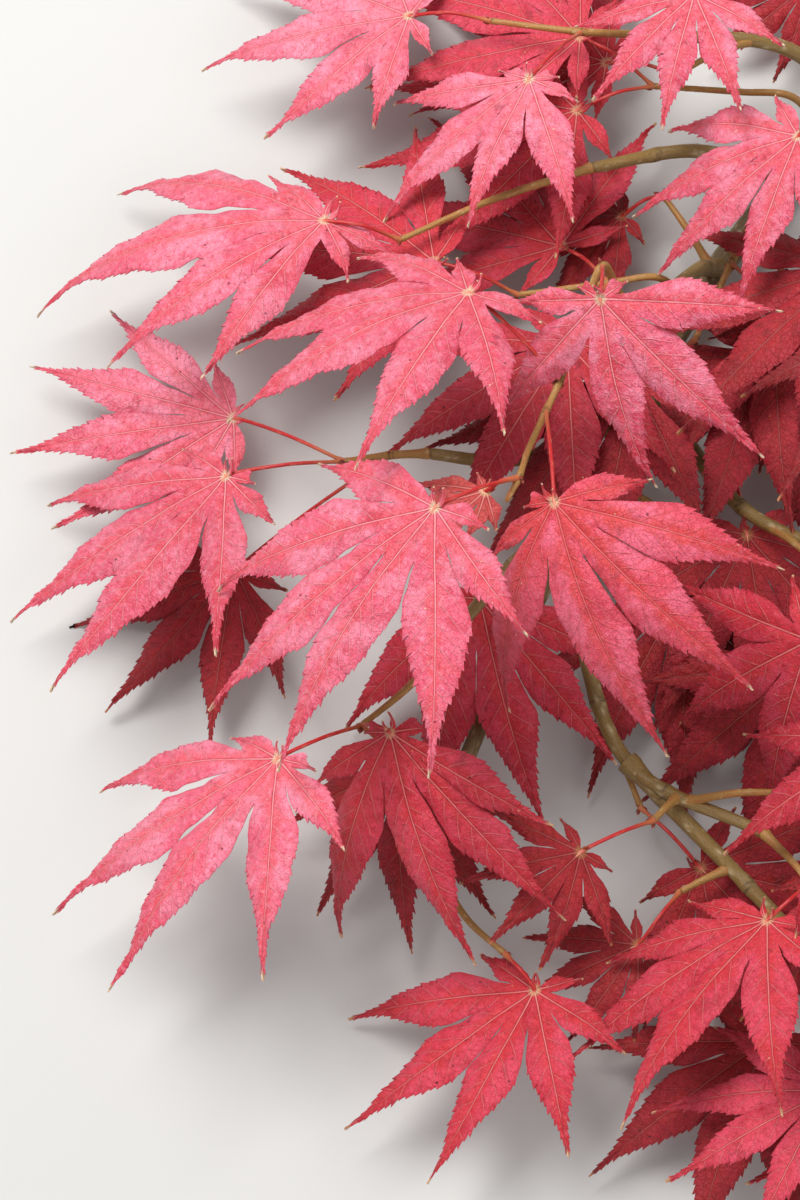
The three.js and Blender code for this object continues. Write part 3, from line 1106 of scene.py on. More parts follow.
class LeafBlade:
    """One leaf's blade: seven toothed lobes and two curled lobules in a closed thin skin."""

    def __init__(self, leaf: Leaf, blade: Blade, seed: int) -> None:
        """Takes a leaf's plan, the blade's style and the seed of its own small differences."""
        self.leaf = leaf
        self.blade = blade
        self.random = np.random.default_rng(seed)
        self.offset = self.random.uniform(-400, 400, 2)

    def rows_along(self, start: float, lobe: Lobe) -> tuple[Points, Points, Points]:
        """The rows of a lobe past its notches.

        Args:
            start: The distance from the base of the last row in the palm.
            lobe: The lobe.

        Returns:
            Each row's distance from the base, its phase within a tooth and the tooth's number.
        """
        style = self.blade
        teeth_from = max(start, style.teeth_from * lobe.length)
        teeth_to = style.teeth_to * lobe.length
        plain_count = max(2, round((teeth_from - start) / style.plain_pitch))
        plain = np.linspace(start, teeth_from, plain_count)[1:-1]
        count = max(3, round((teeth_to - teeth_from) / style.tooth_pitch))
        pitch = (teeth_to - teeth_from) / count
        numbers = np.repeat(np.arange(count), len(style.tooth_phases))
        phases = np.tile(style.tooth_phases, count)
        toothed = teeth_from + (numbers + phases) * pitch
        if teeth_from == start:
            toothed, phases, numbers = toothed[1:], phases[1:], numbers[1:]
        tail = np.array([teeth_to, (teeth_to + 2 * lobe.length) / 3, lobe.length * 0.998])
        reach = np.concatenate([plain, toothed, tail])
        quiet = np.zeros(len(plain))
        after = np.zeros(len(tail))
        return (
            reach,
            np.concatenate([quiet, phases, after]),
            np.concatenate([quiet, numbers, after]).astype(int),
        )

    def half_widths(self, lobe: Lobe, notch: Notch, reach: Points) -> tuple[Points, Points]:
        """How wide one side of a lobe is, held back from its neighbour.

        Args:
            lobe: The lobe.
            notch: The notch on that side.
            reach: Distances from the leaf's base.

        Returns:
            The half widths, and from 0 to 1 how free each place is of the neighbour.
        """
        style = self.blade
        share = np.clip(reach / lobe.length, 0, 1)
        tail = style.tail_width * np.clip((1 - share) / style.tail_share, 0, 1) ** 0.8
        own = np.maximum(lobe.half_width * style.profile(share), tail)
        between = np.abs(notch.angle - lobe.angle - lobe.sweep * share**2)
        past = np.maximum(reach - notch.reach * np.cos(between), 0)
        gap = style.slit * (1 - np.exp(-past / style.slit_start)) + past * style.slit_growth
        room = reach * np.tan(np.minimum(between, style.steepest)) - gap
        softness = style.limit_softness
        mixed = np.clip(0.5 + (room - own) / (2 * softness), 0, 1)
        limited = room + (own - room) * mixed - softness * mixed * (1 - mixed)
        return limited, ease(room - own, -0.2, 0.8)

    def lobe_grid(self, lobe: Lobe, plus: Notch, minus: Notch, lobule: bool = False) -> Grid:
        """Lays out one lobe.

        Args:
            lobe: The lobe.
            plus: The notch on its +X side.
            minus: The notch on its -X side.
            lobule: Whether it is one of the two small curled ones by the petiole.

        Returns:
            The lobe's grid, from the leaf's base to its tip.
        """
        style = self.blade
        outer_reach = style.outer_reach * self.leaf.length
        inner = [notch for notch in (plus, minus) if notch.reach > outer_reach] or [plus, minus]
        start = sum(n.reach * math.cos(n.angle - lobe.angle) for n in inner) / len(inner)
        start = min(start, 0.6 * lobe.length)
        shares = np.linspace(0, 1, style.palm_rows + 1)
        free_reach, phases, numbers = self.rows_along(start, lobe)
        reach = np.concatenate([shares * start, free_reach])
        palm = len(shares)
        middle, across = lobe.middle(reach)
        columns = np.asarray(style.columns)
        halves = []
        for sign, notch in ((-1, minus), (1, plus)):
            edge_place = notch.reach * np.array([math.sin(notch.angle), math.cos(notch.angle)])
            edge = shares[:, None] * edge_place
            palm_side = middle[:palm, None] + (edge - middle[:palm])[:, None] * columns[:, None]
            width, freedom = self.half_widths(lobe, notch, free_reach)
            first = np.array([notch.reach * math.sin(abs(notch.angle - lobe.angle))])
            settle = ease(free_reach, start, start + 3.5)
            if notch.reach <= outer_reach:
                freedom = np.ones(len(free_reach))
                own = lobe.half_width * style.profile(np.clip(free_reach / lobe.length, 0, 1))
                width = np.maximum(own, 0.2)
                settle = ease(free_reach, start, start + 0.3 * lobe.length)
            width = first + (width - first) * settle
            behind = notch.reach * math.cos(notch.angle - lobe.angle) - start
            forward = behind * (1 - settle)
            rise = np.interp(phases, (*style.tooth_phases, 1.0), (0.0, 0.5, 1.0, 0.0))
            drawn = self.random.random(numbers.max() + 1)[numbers]
            uneven = np.where(numbers % 2 == 0, 1.0, style.small_tooth) * (0.85 + 0.3 * drawn)
            share = free_reach / lobe.length
            strength = ease(share, style.teeth_from, style.teeth_from + 0.14) * freedom
            strength = strength * (1 - 0.45 * ease(share, 0.8, 0.97))
            strength = strength * (0 if lobule else min(1, lobe.length / style.full_tooth_length))
            depth = style.tooth_depth * rise * uneven * strength
            push = style.tooth_reach * style.tooth_pitch * rise * uneven * strength
            weight = columns**8
            outs = width[:, None] * columns + depth[:, None] * weight
            slide = forward[:, None] * columns + push[:, None] * weight
            along = np.stack([-across[palm:, 1], across[palm:, 0]], -1)
            free_side = middle[palm:, None] + across[palm:, None] * (sign * outs)[..., None]
            free_side = free_side + along[:, None] * slide[..., None]
            halves.append(np.concatenate([palm_side, free_side]))
        flat = np.concatenate([halves[0][:, :0:-1], halves[1]], axis=1)
        signed = np.concatenate([-columns[:0:-1], columns])
        offset = flat - middle[:, None]
        aside = np.sum(offset * across[:, None], -1)
        ahead = np.stack([-across[:, 1], across[:, 0]], -1)
        reached = reach[:, None] + np.sum(offset * ahead[:, None], -1)
        free = ease(np.maximum(reach[:, None] - start, 0) + 0 * aside, 0.0, 9.0)
        free[:palm] = 0
        rim = np.abs(signed) * ease(reach[:, None] - start, 0.0, 3.0)
        lift = self.lift(lobe, reached, aside, signed + 0 * aside, free)
        if lobule:
            lift = lift + (reach[:, None] / lobe.length) ** 1.5 * lobe.length * 0.85
        rib = np.stack([reach[:, None] / lobe.length + 0 * aside, aside, reached], -1)
        return Grid(flat, lift, rib, rim)

    def lift(self, lobe: Lobe, reach: Points, aside: Points, across: Points, free: Points) -> Points:
        """How far the blade stands out of its plane.

        Args:
            lobe: The lobe.
            reach: Distances along the rib.
            aside: Signed distances from the rib.
            across: The same as shares of the half width.
            free: From 0 in the palm to 1 well out on the lobe.

        Returns:
            Heights, in millimetres.
        """
        style = self.blade
        share = np.clip(reach / lobe.length, 0, 1)
        size = np.abs(across)
        half = np.abs(aside[:, :1] * 0.5) + np.abs(aside[:, -1:] * 0.5)
        sunk = -style.groove_depth * np.exp(-((aside / style.groove_width) ** 2)) * (1 - 0.6 * share)
        sunk = sunk * ease(reach, 0.0, 4.0)
        drop = -style.edge_drop * half * size**2 * free
        ahead = reach - np.abs(aside) * VEIN_SLOPE - aside**2 * VEIN_BEND
        row = ahead / VEIN_GAP + 0.5 * (aside > 0)
        puffed = style.quilt_depth * np.sin(math.pi * (row + 0.5)) ** 2 * 4 * size * (1 - size)
        puffed = puffed * ease(reach, 4.0, 12.0)
        phases = np.where(aside > 0, lobe.phases[0], lobe.phases[1])
        slow, quick = (reach * 2 * math.pi / length for length in style.wave_lengths)
        wave = np.sin(slow + phases) + 0.5 * np.sin(quick + 2 * phases)
        wave = style.flutter * wave * size**2.5 * free
        lean = aside * math.tan(lobe.twist) * free
        fall = lobe.step * free - lobe.dip * lobe.length * share**2 * free
        curled = np.maximum(share - style.hook_from, 0) / (1 - style.hook_from)
        hook = lobe.curl * lobe.length * curled**2
        return sunk + drop + puffed + wave + lean + fall + hook

    def grids(self) -> Iterator[Grid]:
        """Every lobe of the leaf, laid out.

        Yields:
            The seven lobes, and then the two lobules beside the petiole.
        """
        length = self.leaf.length
        lobes = self.blade.lobes(self.leaf, self.random)
        notches = self.blade.notches(lobes, length)
        for number, lobe in enumerate(lobes):
            yield self.lobe_grid(lobe, notches[number], notches[number + 1])
        for outer, sign in ((lobes[0], 1), (lobes[-1], -1)):
            size = length * self.blade.lobule_length * self.random.uniform(0.5, 1.1)
            angle = outer.angle + sign * math.radians(self.blade.lobule_angle)
            spread = math.radians(self.blade.lobule_spread)
            lobule = Lobe(angle, size, 0.2 * size, sweep=spread * sign)
            plus = Notch(angle + spread, 0.2 * size)
            minus = Notch(angle - spread, 0.2 * size)
            yield self.lobe_grid(lobule, plus, minus, lobule=True)

    def add_to(self, draft: Draft) -> None:
        """Adds the closed skin to a draft.

        Args:
            draft: The piece. Material 0 is the upper face and 1 the lower.
        """
        grids = list(self.grids())
        flat = np.concatenate([grid.flat.reshape(-1, 2) for grid in grids])
        lift = np.concatenate([grid.lift.ravel() for grid in grids])
        rib = np.concatenate([grid.rib.reshape(-1, 3) for grid in grids])
        rim = np.concatenate([grid.rim.ravel() for grid in grids])
        starts = np.cumsum([0] + [grid.rim.size for grid in grids[:-1]])
        faces = np.concatenate([grid.faces() + start for grid, start in zip(grids, starts)])
        groups = [np.full(grid.rim.size, max(0, number - 6)) for number, grid in enumerate(grids)]
        keys = np.column_stack([np.round(flat, 4), np.concatenate(groups)])
        _, kept, joined = np.unique(keys, axis=0, return_index=True, return_inverse=True)
        joined = joined.ravel()
        places = self.leaf.place(flat[kept], lift[kept])
        middle_faces = joined[faces]
        normals = self.normals(places, middle_faces)
        half = (self.blade.thickness / 2) * (1 - 0.4 * rim[kept])[:, None]
        points = np.concatenate([places + normals * half, places - normals * half])
        count = len(places)
        edges, corners = self.boundary(faces, middle_faces)
        top = middle_faces
        bottom = middle_faces[:, [0, 3, 2, 1]] + count
        short = faces[:, 2] == faces[:, 3]
        bottom[short] = middle_faces[short][:, [0, 2, 1, 1]] + count
        under_corners = faces[:, [0, 3, 2, 1]].copy()
        under_corners[short] = faces[short][:, [0, 2, 1, 1]]
        wall = np.stack([edges[:, 1], edges[:, 0], edges[:, 0] + count, edges[:, 1] + count], -1)
        wall_corners = np.stack([corners[:, 1], corners[:, 0], corners[:, 0], corners[:, 1]], -1)
        all_faces = np.concatenate([top, bottom, wall])
        all_corners = np.concatenate([faces, under_corners, wall_corners])
        finish = np.repeat(np.array([0, 1, 0], np.int32), [len(top), len(bottom), len(wall)])
        spot = np.column_stack([flat + self.offset, rim])
        draft.add(points, all_faces, finish, rib=rib[all_corners], leaf=spot[all_corners])

    @staticmethod
    def normals(places: Points, faces: Points) -> Points:
        """Unit normals at the points, from the faces around each."""
        first, second = places[faces[:, 0]], places[faces[:, 2]]
        crossed = np.cross(places[faces[:, 1]] - first, second - first)
        other = np.cross(second - first, places[faces[:, 3]] - first)
        whole = crossed + other
        total = np.zeros(places.shape)
        for column in range(4):
            np.add.at(total, faces[:, column], whole)
        return total / np.maximum(np.linalg.norm(total, axis=1), 1e-12)[:, None]

    @staticmethod
    def boundary(faces: Points, joined: Points) -> tuple[Points, Points]:
        """The blade's open edges.

        Args:
            faces: Faces by each lobe's own point numbers.
            joined: The same faces by the numbers of the points as joined.

        Returns:
            The joined and the own point numbers of each open edge, in its face's order.
        """
        here = np.concatenate([joined, faces], axis=1)
        ends = ((0, 1), (1, 2), (2, 3), (3, 0))
        edges = np.concatenate([here[:, [a, b, a + 4, b + 4]] for a, b in ends])
        edges = edges[edges[:, 0] != edges[:, 1]]
        pairs = np.sort(edges[:, :2], axis=1)
        _, where, used = np.unique(pairs, axis=0, return_inverse=True, return_counts=True)
        lone = edges[used[where.ravel()] == 1]
        return lone[:, :2], lone[:, 2:]


# The branch's layout


@dataclass(frozen=True)
class Spray:
    """A twig with its leaves: the limb that it springs from, and the points that it passes."""

    name: str
    limb: str
    along: float
    path: tuple[Place, ...]
    leaves: tuple[Leaf, ...]
    tone: Tone = Tone.CRIMSON


@dataclass(frozen=True)
class Layer:
    """A flat layer of leaf pairs on one twig, of which it keeps those that hang clear."""

    name: str
    limb: str
    along: float
    rise: float
    heading: float
    pitch: float
    roll: float
    length: float
    keep: tuple[int, ...]
    tone: Tone = Tone.SHADED_WINE


MAIN_STEM = "main_stem"
STEM_PATH = (
    (118, 160, 1),
    (94, 120, 2),
    (68, 84, 5),
    (44, 40, 9),
    (22, -6, 11),
    (6, -46, 12),
)
BOUGHS = (
    ("bough_top_right", MAIN_STEM, 0.06, ((108, 154, 20), (92, 152, 36))),
    ("bough_top", MAIN_STEM, 0.13, ((86, 138, 16), (58, 136, 27))),
    ("bough_upper_right", MAIN_STEM, 0.2, ((104, 112, 20), (106, 106, 36))),
    ("bough_upper_left", MAIN_STEM, 0.24, ((66, 112, 18), (42, 104, 28))),
    ("bough_front", MAIN_STEM, 0.36, ((66, 84, 18), (57, 73, 32))),
    ("bough_right", MAIN_STEM, 0.5, ((74, 30, 16), (96, 14, 30))),
    ("bough_left", MAIN_STEM, 0.54, ((24, 40, 18), (6, 39, 26))),
    ("bough_lower_right", MAIN_STEM, 0.68, ((48, -26, 16), (76, -44, 26))),
    ("bough_lower", MAIN_STEM, 0.5, ((38, 30, 24), (22, 10, 34), (9, -6, 35))),
    ("bough_bottom_right", "bough_lower_right", 0.6, ((84, -66, 18), (94, -82, 24))),
)
SPRAYS = (
    Spray(
        "spray_front",
        "bough_front",
        1,
        (
            (47, 67, 47),
            (42, 69, 60),
            (38, 60, 57),
            (33, 45, 57),
            (30, 38, 58),
            (26, 28, 62),
            (24, 21, 67),
            (21.5, 16.5, 65.5),
        ),
        (
            Leaf(
                7, (7, 12, 76), 231, -6, 26, 63, 0.22,
                lobes=((81, 34), (47, 57), (23, 66), (-1, 62), (-36, 55), (-73, 35), (-101, 13)),
            ),
            Leaf(
                5, (31, 15, 70), 274, 0, 36, 59, 0.5,
                lobes=((96, 8), (70, 21), (39, 51), (-6, 60), (-34, 58), (-64, 50), (-92, 21)),
                tone=Tone.RUBY,
            ),
            Leaf(
                4, (14, 61, 66), 197, 8, 34, 57, 0.3,
                lobes=((100, 15), (65, 35), (23, 52), (-1, 57), (-41, 49), (-81, 39), (-132, 17)),
            ),
            Leaf(
                2, (40.5, 56, 76), 275, -24, 32, 46, 0.26,
                lobes=((118, 6), (90, 22), (51, 38), (-7, 42), (-40, 47), (-83, 38), (-118, 7)),
            ),
            Leaf(
                7, (17.5, 20, 61), 178, -6, 14, 26, 0.25,
                lobes=((104, 3), (66, 5), (14, 16), (-14, 19), (-42, 17), (-72, 12), (-106, 9)),
                tone=Tone.SALMON,
                breadth=1.5,
            ),
        ),
        Tone.ROSE,
    ),
    Spray(
        "spray_left",
        "bough_left",
        1,
        ((-2, 38, 28), (-12, 36, 30)),
        (
            Leaf(
                2, (-37, 32, 32), 231, 0, 32, 56, 0.1,
                lobes=((93, 17), (61, 50), (31, 59), (5, 59), (-39, 43), (-79, 21), (-104, 8)),
            ),
            Leaf(2, (-36.6, 51.5, 12), 188, 2, 4, 50, 0.1, 0.03, (0.79, 0.74)),
            Leaf(1, (-36, 18, 8), 228, -2, 12, 42, 0.1, tone=Tone.SHADED_WINE),
        ),
        Tone.ROSE,
    ),
    Spray(
        "spray_lower",
        "bough_lower",
        1,
        ((2, -14, 33), (-8, -22, 31)),
        (
            Leaf(
                2, (-25, -32, 44), 228, 1, 36, 58, 0.19,
                lobes=((84, 16), (58, 50), (30, 62), (1, 59), (-39, 48), (-76, 30), (-105, 10)),
            ),
            Leaf(
                2, (-2, -26, 42), 274, 0, 34, 55, 0.42,
                lobes=((100, 7), (75, 25), (39, 52), (-5, 53), (-31, 53), (-52, 40), (-86, 10)),
                tone=Tone.CRIMSON,
            ),
            Leaf(2, (0, -28, 18), 268, -8, 20, 40, 0.15, tone=Tone.SHADED_WINE),
        ),
        Tone.ROSE,
    ),
    Spray(
        "spray_upper_left",
        "bough_upper_left",
        1,
        ((20, 96, 29), (0, 86, 31)),
        (
            Leaf(
                2, (-16.4, 89.2, 34), 182, 4, 28, 63, 0.37,
                lobes=((60, 23), (37, 61), (4, 71), (-26, 57), (-52, 47), (-104, 18), (-148, 17)),
            ),
        ),
        Tone.ROSE,
    ),
    Spray(
        "spray_top",
        "bough_top",
        1,
        ((40, 134, 33), (20, 138, 30)),
        (
            Leaf(
                1, (28, 119, 41.5), 248, 2, 28, 41, 0.1,
                lobes=((100, 9), (76, 35), (37, 44.5), (3, 36), (-36, 38), (-75, 14), (-104, 7)),
            ),
            Leaf(2, (2, 141, 26), 185, -6, 18, 50, 0.2, 0.2, (1.03, 1.15)),
        ),
        Tone.ROSE,
    ),
    Spray(
        "spray_top_right",
        "bough_top_right",
        1,
        ((80, 152, 42), (72, 152, 44)),
        (Leaf(2, (64, 138, 44), 254, 9, 16, 34, 0.1, 0.05),),
        Tone.ROSE,
    ),
    Spray(
        "spray_upper_right",
        "bough_upper_right",
        1,
        ((100, 108, 46), (96, 108, 48)),
        (Leaf(2, (85, 103, 48), 215, -11, 25, 44, 0.3, 0.12, (1.02, 0.92)),),
        Tone.ROSE,
    ),
    Spray(
        "spray_right",
        "bough_right",
        1,
        ((98, 8, 36), (94, 2, 39)),
        (
            Leaf(2, (85, -6, 40), 250, -28, 16, 45, 0.35, 0.05, (1, 1.29)),
            Leaf(2, (98, -30, 52), 236, -4, 26, 44, 0.2),
        ),
    ),
    Spray(
        "spray_lower_right",
        "bough_lower_right",
        1,
        ((82, -52, 31), (84, -56, 33)),
        (
            Leaf(
                2, (75, -64, 36), 228, 7, 36, 50, 0.17,
                lobes=((78, 20), (50, 37), (25, 51), (1, 52), (-42, 44), (-80, 26), (-108, 9)),
            ),
        ),
    ),
    Spray(
        "spray_bottom_right",
        "bough_bottom_right",
        1,
        ((95, -88, 28),),
        (
            Leaf(1, (87, -98, 30), 205, 0, 28, 38.5, 0.2, 0.1, (1.1, 1)),
            Leaf(1, (98, -106, 30), 262, 0, 20, 42, 0.2),
        ),
    ),
    Spray(
        "spray_bottom",
        MAIN_STEM,
        1,
        ((14, -60, 15), (22, -68, 18)),
        (Leaf(2, (28, -76, 20), 241, 10, 28, 46, 0.08, 0.25, (1.17, 0.98)),),
    ),
    Spray(
        "spray_middle",
        MAIN_STEM,
        0.58,
        ((34, 22, 17), (28, 18, 21)),
        (Leaf(2, (17, 7, 25), 281, -4, 22, 52, 0.22, 0.12, (0.82, 1)),),
    ),
)
LAYERS = (
    Layer("layer_centre", MAIN_STEM, 0.41, 24, 185, -8, 12, 40, (0, 1, 2), Tone.CRIMSON),
    Layer("layer_upper", MAIN_STEM, 0.29, 17, 245, 2, 12, 40, (1, 2)),
    Layer("layer_right", MAIN_STEM, 0.46, 7, 296, -8, -4, 30, (1, 2)),
    Layer("layer_top", MAIN_STEM, 0.18, 19, 175, -2, 12, 40, (2, 3), Tone.CRIMSON),
    Layer("layer_low", "bough_lower_right", 0.36, 0, 290, -4, 12, 30, (3,)),
    Layer("layer_bottom", "bough_bottom_right", 0.57, 1, 300, 4, 4, 28, (0,)),
    Layer("layer_low_edge", "bough_lower_right", 0.79, 9, 360, 0, -14, 42, (0,)),
    Layer("layer_edge", "bough_right", 0.68, 7, 310, -8, 8, 36, (0,)),
    Layer("layer_upper_edge", "bough_upper_right", 0.64, 14, 278, 19, 10, 44, (0, 2)),
    Layer("layer_stem_edge", MAIN_STEM, 0.34, 18, 310, 4, -8, 30, (0,)),
    Layer("layer_high_top", "bough_top", 0.58, 5, 210, -4, 10, 40, (0,), Tone.CRIMSON),
    Layer("layer_back", MAIN_STEM, 0.61, 6, 330, -4, 0, 38, (0,)),
)


@dataclass(frozen=True)
class LayerRule:
    """How a layer's twig and leaves are set out: node, turn and lift of each leaf."""

    leaves: tuple[tuple[int, float, float], ...] = (
        (2, 56, -6),
        (2, -56, 2),
        (3, 20, 8),
        (3, -24, -1),
    )
    nodes: tuple[float, ...] = (0.25, 0.5, 1)
    petiole: float = 18
    leaf_length: float = 50
    droop: float = 0.12
    turn_jitter: float = 3
    length_jitter: float = 0.04

    def spray(self, layer: Layer, limbs: dict[str, Limb], noise: Iterator[float]) -> Spray:
        """Works a layer out as a spray.

        Args:
            layer: The layer.
            limbs: The wood that it springs from.
            noise: The branch's run of random numbers.

        Returns:
            Its twig's path and its leaves.
        """
        root = limbs[layer.limb].curve.spaced([layer.along])[0]
        at = (root[0], root[1], root[2] + layer.rise)
        frame = Leaf(0, at, layer.heading, layer.pitch, layer.roll, 1, 0)
        matrix = frame.matrix()
        last = max(self.leaves[kept][0] for kept in layer.keep)
        path = tuple(tuple(matrix @ Vector((0, n * layer.length, 0))) for n in self.nodes[:last])
        leaves = []
        for kept in layer.keep:
            node, turn, lift = self.leaves[kept]
            angle = math.radians(turn)
            ahead = self.nodes[node - 1] * layer.length + math.cos(angle) * self.petiole
            spot = tuple(matrix @ Vector((math.sin(angle) * self.petiole, ahead, lift)))
            turned = -turn + self.turn_jitter * next(noise)
            length = self.leaf_length * (1 + self.length_jitter * next(noise))
            lie = (layer.heading, layer.pitch, layer.roll)
            leaves.append(Leaf(node, spot, *lie, length, self.droop, turn=turned))
        return Spray(layer.name, layer.limb, layer.along, path, tuple(leaves), layer.tone)


def seeded_noise() -> Iterator[float]:
    """The run of random numbers from -1 to 1 that the solids' layers are laid out by."""
    state = NOISE_SEED
    while True:
        state = state * NOISE_MULTIPLIER % NOISE_MODULUS
        yield 2 * state / NOISE_MODULUS - 1


# Wood


@dataclass
class Limb:
    """A stem, bough or twig: its curve and its radius at the foot and at the tip."""

    name: str
    curve: Curve
    foot: float
    tip: float
    inside: float = 0.0
    collar: float = 0.34
    collar_length: float = 1.3

    def bare_radius(self, share: Points | float) -> Points | float:
        """The radius at shares of the limb's length, without its collar."""
        return self.foot + (self.tip - self.foot) * share

    def radius(self, along: Points) -> Points:
        """The radius at lengths along the limb, with a collar where it leaves its parent."""
        plain = self.bare_radius(np.clip(along / self.curve.length(), 0, 1))
        if not self.inside:
            return plain
        past = np.maximum(along - self.inside, 0) / (self.collar_length * self.foot)
        return plain + self.collar * self.foot * np.exp(-past)


@dataclass(frozen=True)
class Relief:
    """What stands out of a limb's bark. Lengths are millimetres."""

    node_gap: float = 26.0
    ring_width: float = 0.75
    ring_height: float = 0.24
    ring_edge: float = 0.55
    line_width: float = 0.16
    line_depth: float = 0.09
    pore_spacing: float = 3.9
    pore_length: float = 0.62
    pore_width: float = 0.3
    pore_height: float = 0.13
    ridge_height: float = 0.05

    def masks(self, limb: Limb, seed: int, nodes: Sequence[float] | None = None) -> Callable:
        """Scatters one limb's pores and rings.

        Args:
            limb: The limb.
            seed: What its scatter starts from.
            nodes: Lengths along it of its nodes, where they aren't evenly spaced.

        Returns:
            A function of lengths along and angles round. It gives the height and the marks.
        """
        random = np.random.default_rng(seed)
        length = limb.curve.length()
        radius = (limb.foot + limb.tip) / 2
        count = int(length * 2 * math.pi * radius / self.pore_spacing**2)
        pores = random.uniform((0, 0, 0.6), (length, 2 * math.pi, 1.4), (count, 3))
        if nodes is None:
            nodes = np.arange(limb.inside + 9, length - 4, self.node_gap)
        wander = random.uniform(0, 2 * math.pi, 3)

        def relief(along: Points, around: Points) -> tuple[Points, Points]:
            """Heights, and marks of pores, rings and youth."""
            pored = np.zeros(along.shape)
            for place, angle, size in pores:
                beside = np.abs((around - angle + math.pi) % (2 * math.pi) - math.pi) * radius
                far = ((along - place) / (self.pore_length * size)) ** 2
                pored = np.maximum(pored, np.exp(-far - (beside / (self.pore_width * size)) ** 2))
            swell = np.zeros(along.shape)
            ringed = np.zeros(along.shape)
            for node in nodes:
                tilt = 0.35 * radius * np.cos(around + wander[0] + node)
                off = along - node - tilt
                swell = np.maximum(swell, np.exp(-((off / (2.1 * self.ring_width)) ** 2)))
                for side in (-self.ring_edge, self.ring_edge):
                    from_line = (off - side * self.ring_width) / self.line_width
                    ringed = np.maximum(ringed, np.exp(-(from_line**2)))
            ridges = np.sin(5 * around + wander[1] + along * 0.045)
            ridges = ridges + 0.6 * np.sin(9 * around + wander[2] - along * 0.08)
            height = self.pore_height * pored + self.ring_height * swell * min(1.0, radius)
            height = height - self.line_depth * ringed
            height = height + self.ridge_height * ridges * min(1.0, radius / 2)
            youth = np.clip(1.15 - (radius - 0.6) / 2.4 + 0.25 * along / length, 0, 1)
            youth = youth + np.zeros(along.shape)
            return height, np.stack([pored, ringed, youth], -1)

        return relief


TWIG_RELIEF = Relief(pore_spacing=2.6, pore_length=0.3, pore_width=0.16, pore_height=0.07)


@dataclass(frozen=True)
class Skin:
    """How finely a limb is meshed, with its relief, and how far its tip is rounded off."""

    sides: int
    pitch: float
    reliefs: Relief = field(default_factory=Relief)
    rounding: float = 0.8

    def add(
        self,
        draft: Draft,
        limb: Limb,
        seed: int,
        nodes: Sequence[float] | None = None,
        cut: bool = False,
    ) -> None:
        """Adds a limb's bark to a draft.

        Args:
            draft: The piece.
            limb: The limb.
            seed: What its scatter starts from.
            nodes: Where its nodes are, unless they are evenly spaced.
            cut: Whether its foot is a flat cut, of material 1.
        """
        masks = self.reliefs.masks(limb, seed, nodes)
        length = limb.curve.length()

        def radius(along: Points) -> Points:
            """The limb's radius at lengths along it, rounded off at its tip."""
            closing = np.clip((along - length) / limb.tip + 1, 0, 1)
            return limb.radius(along) * np.sqrt(1 - self.rounding * closing**2)

        tube = Round(
            curve=limb.curve,
            radius=radius,
            sides=self.sides,
            pitch=self.pitch,
            relief=lambda along, around: masks(along, around)[0],
            marks=lambda along, around: masks(along, around)[1],
            cut_finish=1 if cut else None,
        )
        tube.add_to(draft, 0)


@dataclass(frozen=True)
class Stalk:
    """A petiole's size: a slim stalk, swollen at the twig and a little at the blade."""

    radius: float = 0.42
    heel: float = 0.32
    heel_length: float = 1.5
    neck: float = 0.16
    neck_length: float = 1.6
    rise: float = 3.0
    sink: float = 1.4
    sides: int = 12
    pitch: float = 0.6

    def add(self, draft: Draft, twig: Curve, leaf: Leaf) -> None:
        """Adds one leaf's petiole.

        Args:
            draft: The piece.
            twig: The twig's curve.
            leaf: The leaf that hangs on it.
        """
        root = twig.at(leaf.node / (len(twig.points) - 1))
        base = np.array(leaf.at, float)
        sunk = leaf.place(np.array([0.0, self.sink]), 0.0)
        middle = (root + base) / 2 + (0, 0, self.rise)
        curve = Curve(tuple(tuple(point) for point in (root, middle, base, sunk)))
        length = curve.length()

        def radius(along: Points) -> Points:
            """The radius at lengths along the stalk."""
            heel = self.heel * np.exp(-((along / self.heel_length) ** 2))
            from_neck = (length - self.sink - along) / self.neck_length
            neck = self.neck * np.exp(-(from_neck**2))
            fade = ease(length - along, 0.0, self.sink + 0.6)
            return (self.radius + heel + neck) * (0.3 + 0.7 * fade)

        def marks(along: Points, around: Points) -> Points:
            """The share of the way along, as the third mark."""
            none = np.zeros(along.shape)
            return np.stack([none, none, along / length], -1)

        Round(curve, radius, self.sides, self.pitch, marks=marks).add_to(draft, 0)


@dataclass(frozen=True)
class Bud:
    """A pointed bud in pairs of scales."""

    length: float = 2.1
    width: float = 0.62
    sides: int = 10
    pitch: float = 0.14

    def add(self, draft: Draft, foot: Points, towards: Points, size: float, finish: int) -> None:
        """Adds a bud.

        Args:
            draft: The piece.
            foot: Where it sits.
            towards: The way that it points.
            size: Its share of the usual size.
            finish: Its material number.
        """
        ahead = towards / np.linalg.norm(towards)
        length = self.length * size
        curve = Curve((tuple(foot), tuple(foot + ahead * length / 2), tuple(foot + ahead * length)))

        def radius(along: Points) -> Points:
            """The radius at lengths along the bud, stepped where a scale ends."""
            share = np.clip(along / length, 0, 1)
            body = np.sqrt(np.clip(share * 2.2, 0, 1)) * (1 - share**2.2) + 0.02
            return self.width * size * body

        def relief(along: Points, around: Points) -> Points:
            """Scale edges, in pairs that cross."""
            share = along / length
            edge = 0.34 + 0.2 * np.abs(np.sin(around))
            second = 0.62 + 0.2 * np.abs(np.cos(around))
            return 0.05 * size * ((share < edge) * 1.0 + (share < second) * 1.0) * (share < 0.9)

        def marks(along: Points, around: Points) -> Points:
            """Dark at the scale edges."""
            share = along / length
            edge = 0.34 + 0.2 * np.abs(np.sin(around))
            near = np.exp(-(((share - edge) / 0.06) ** 2))
            return np.stack([share > 0.93, near, share], -1)

        Round(curve, radius, self.sides, self.pitch * size, relief, marks).add_to(draft, finish)


# The branch


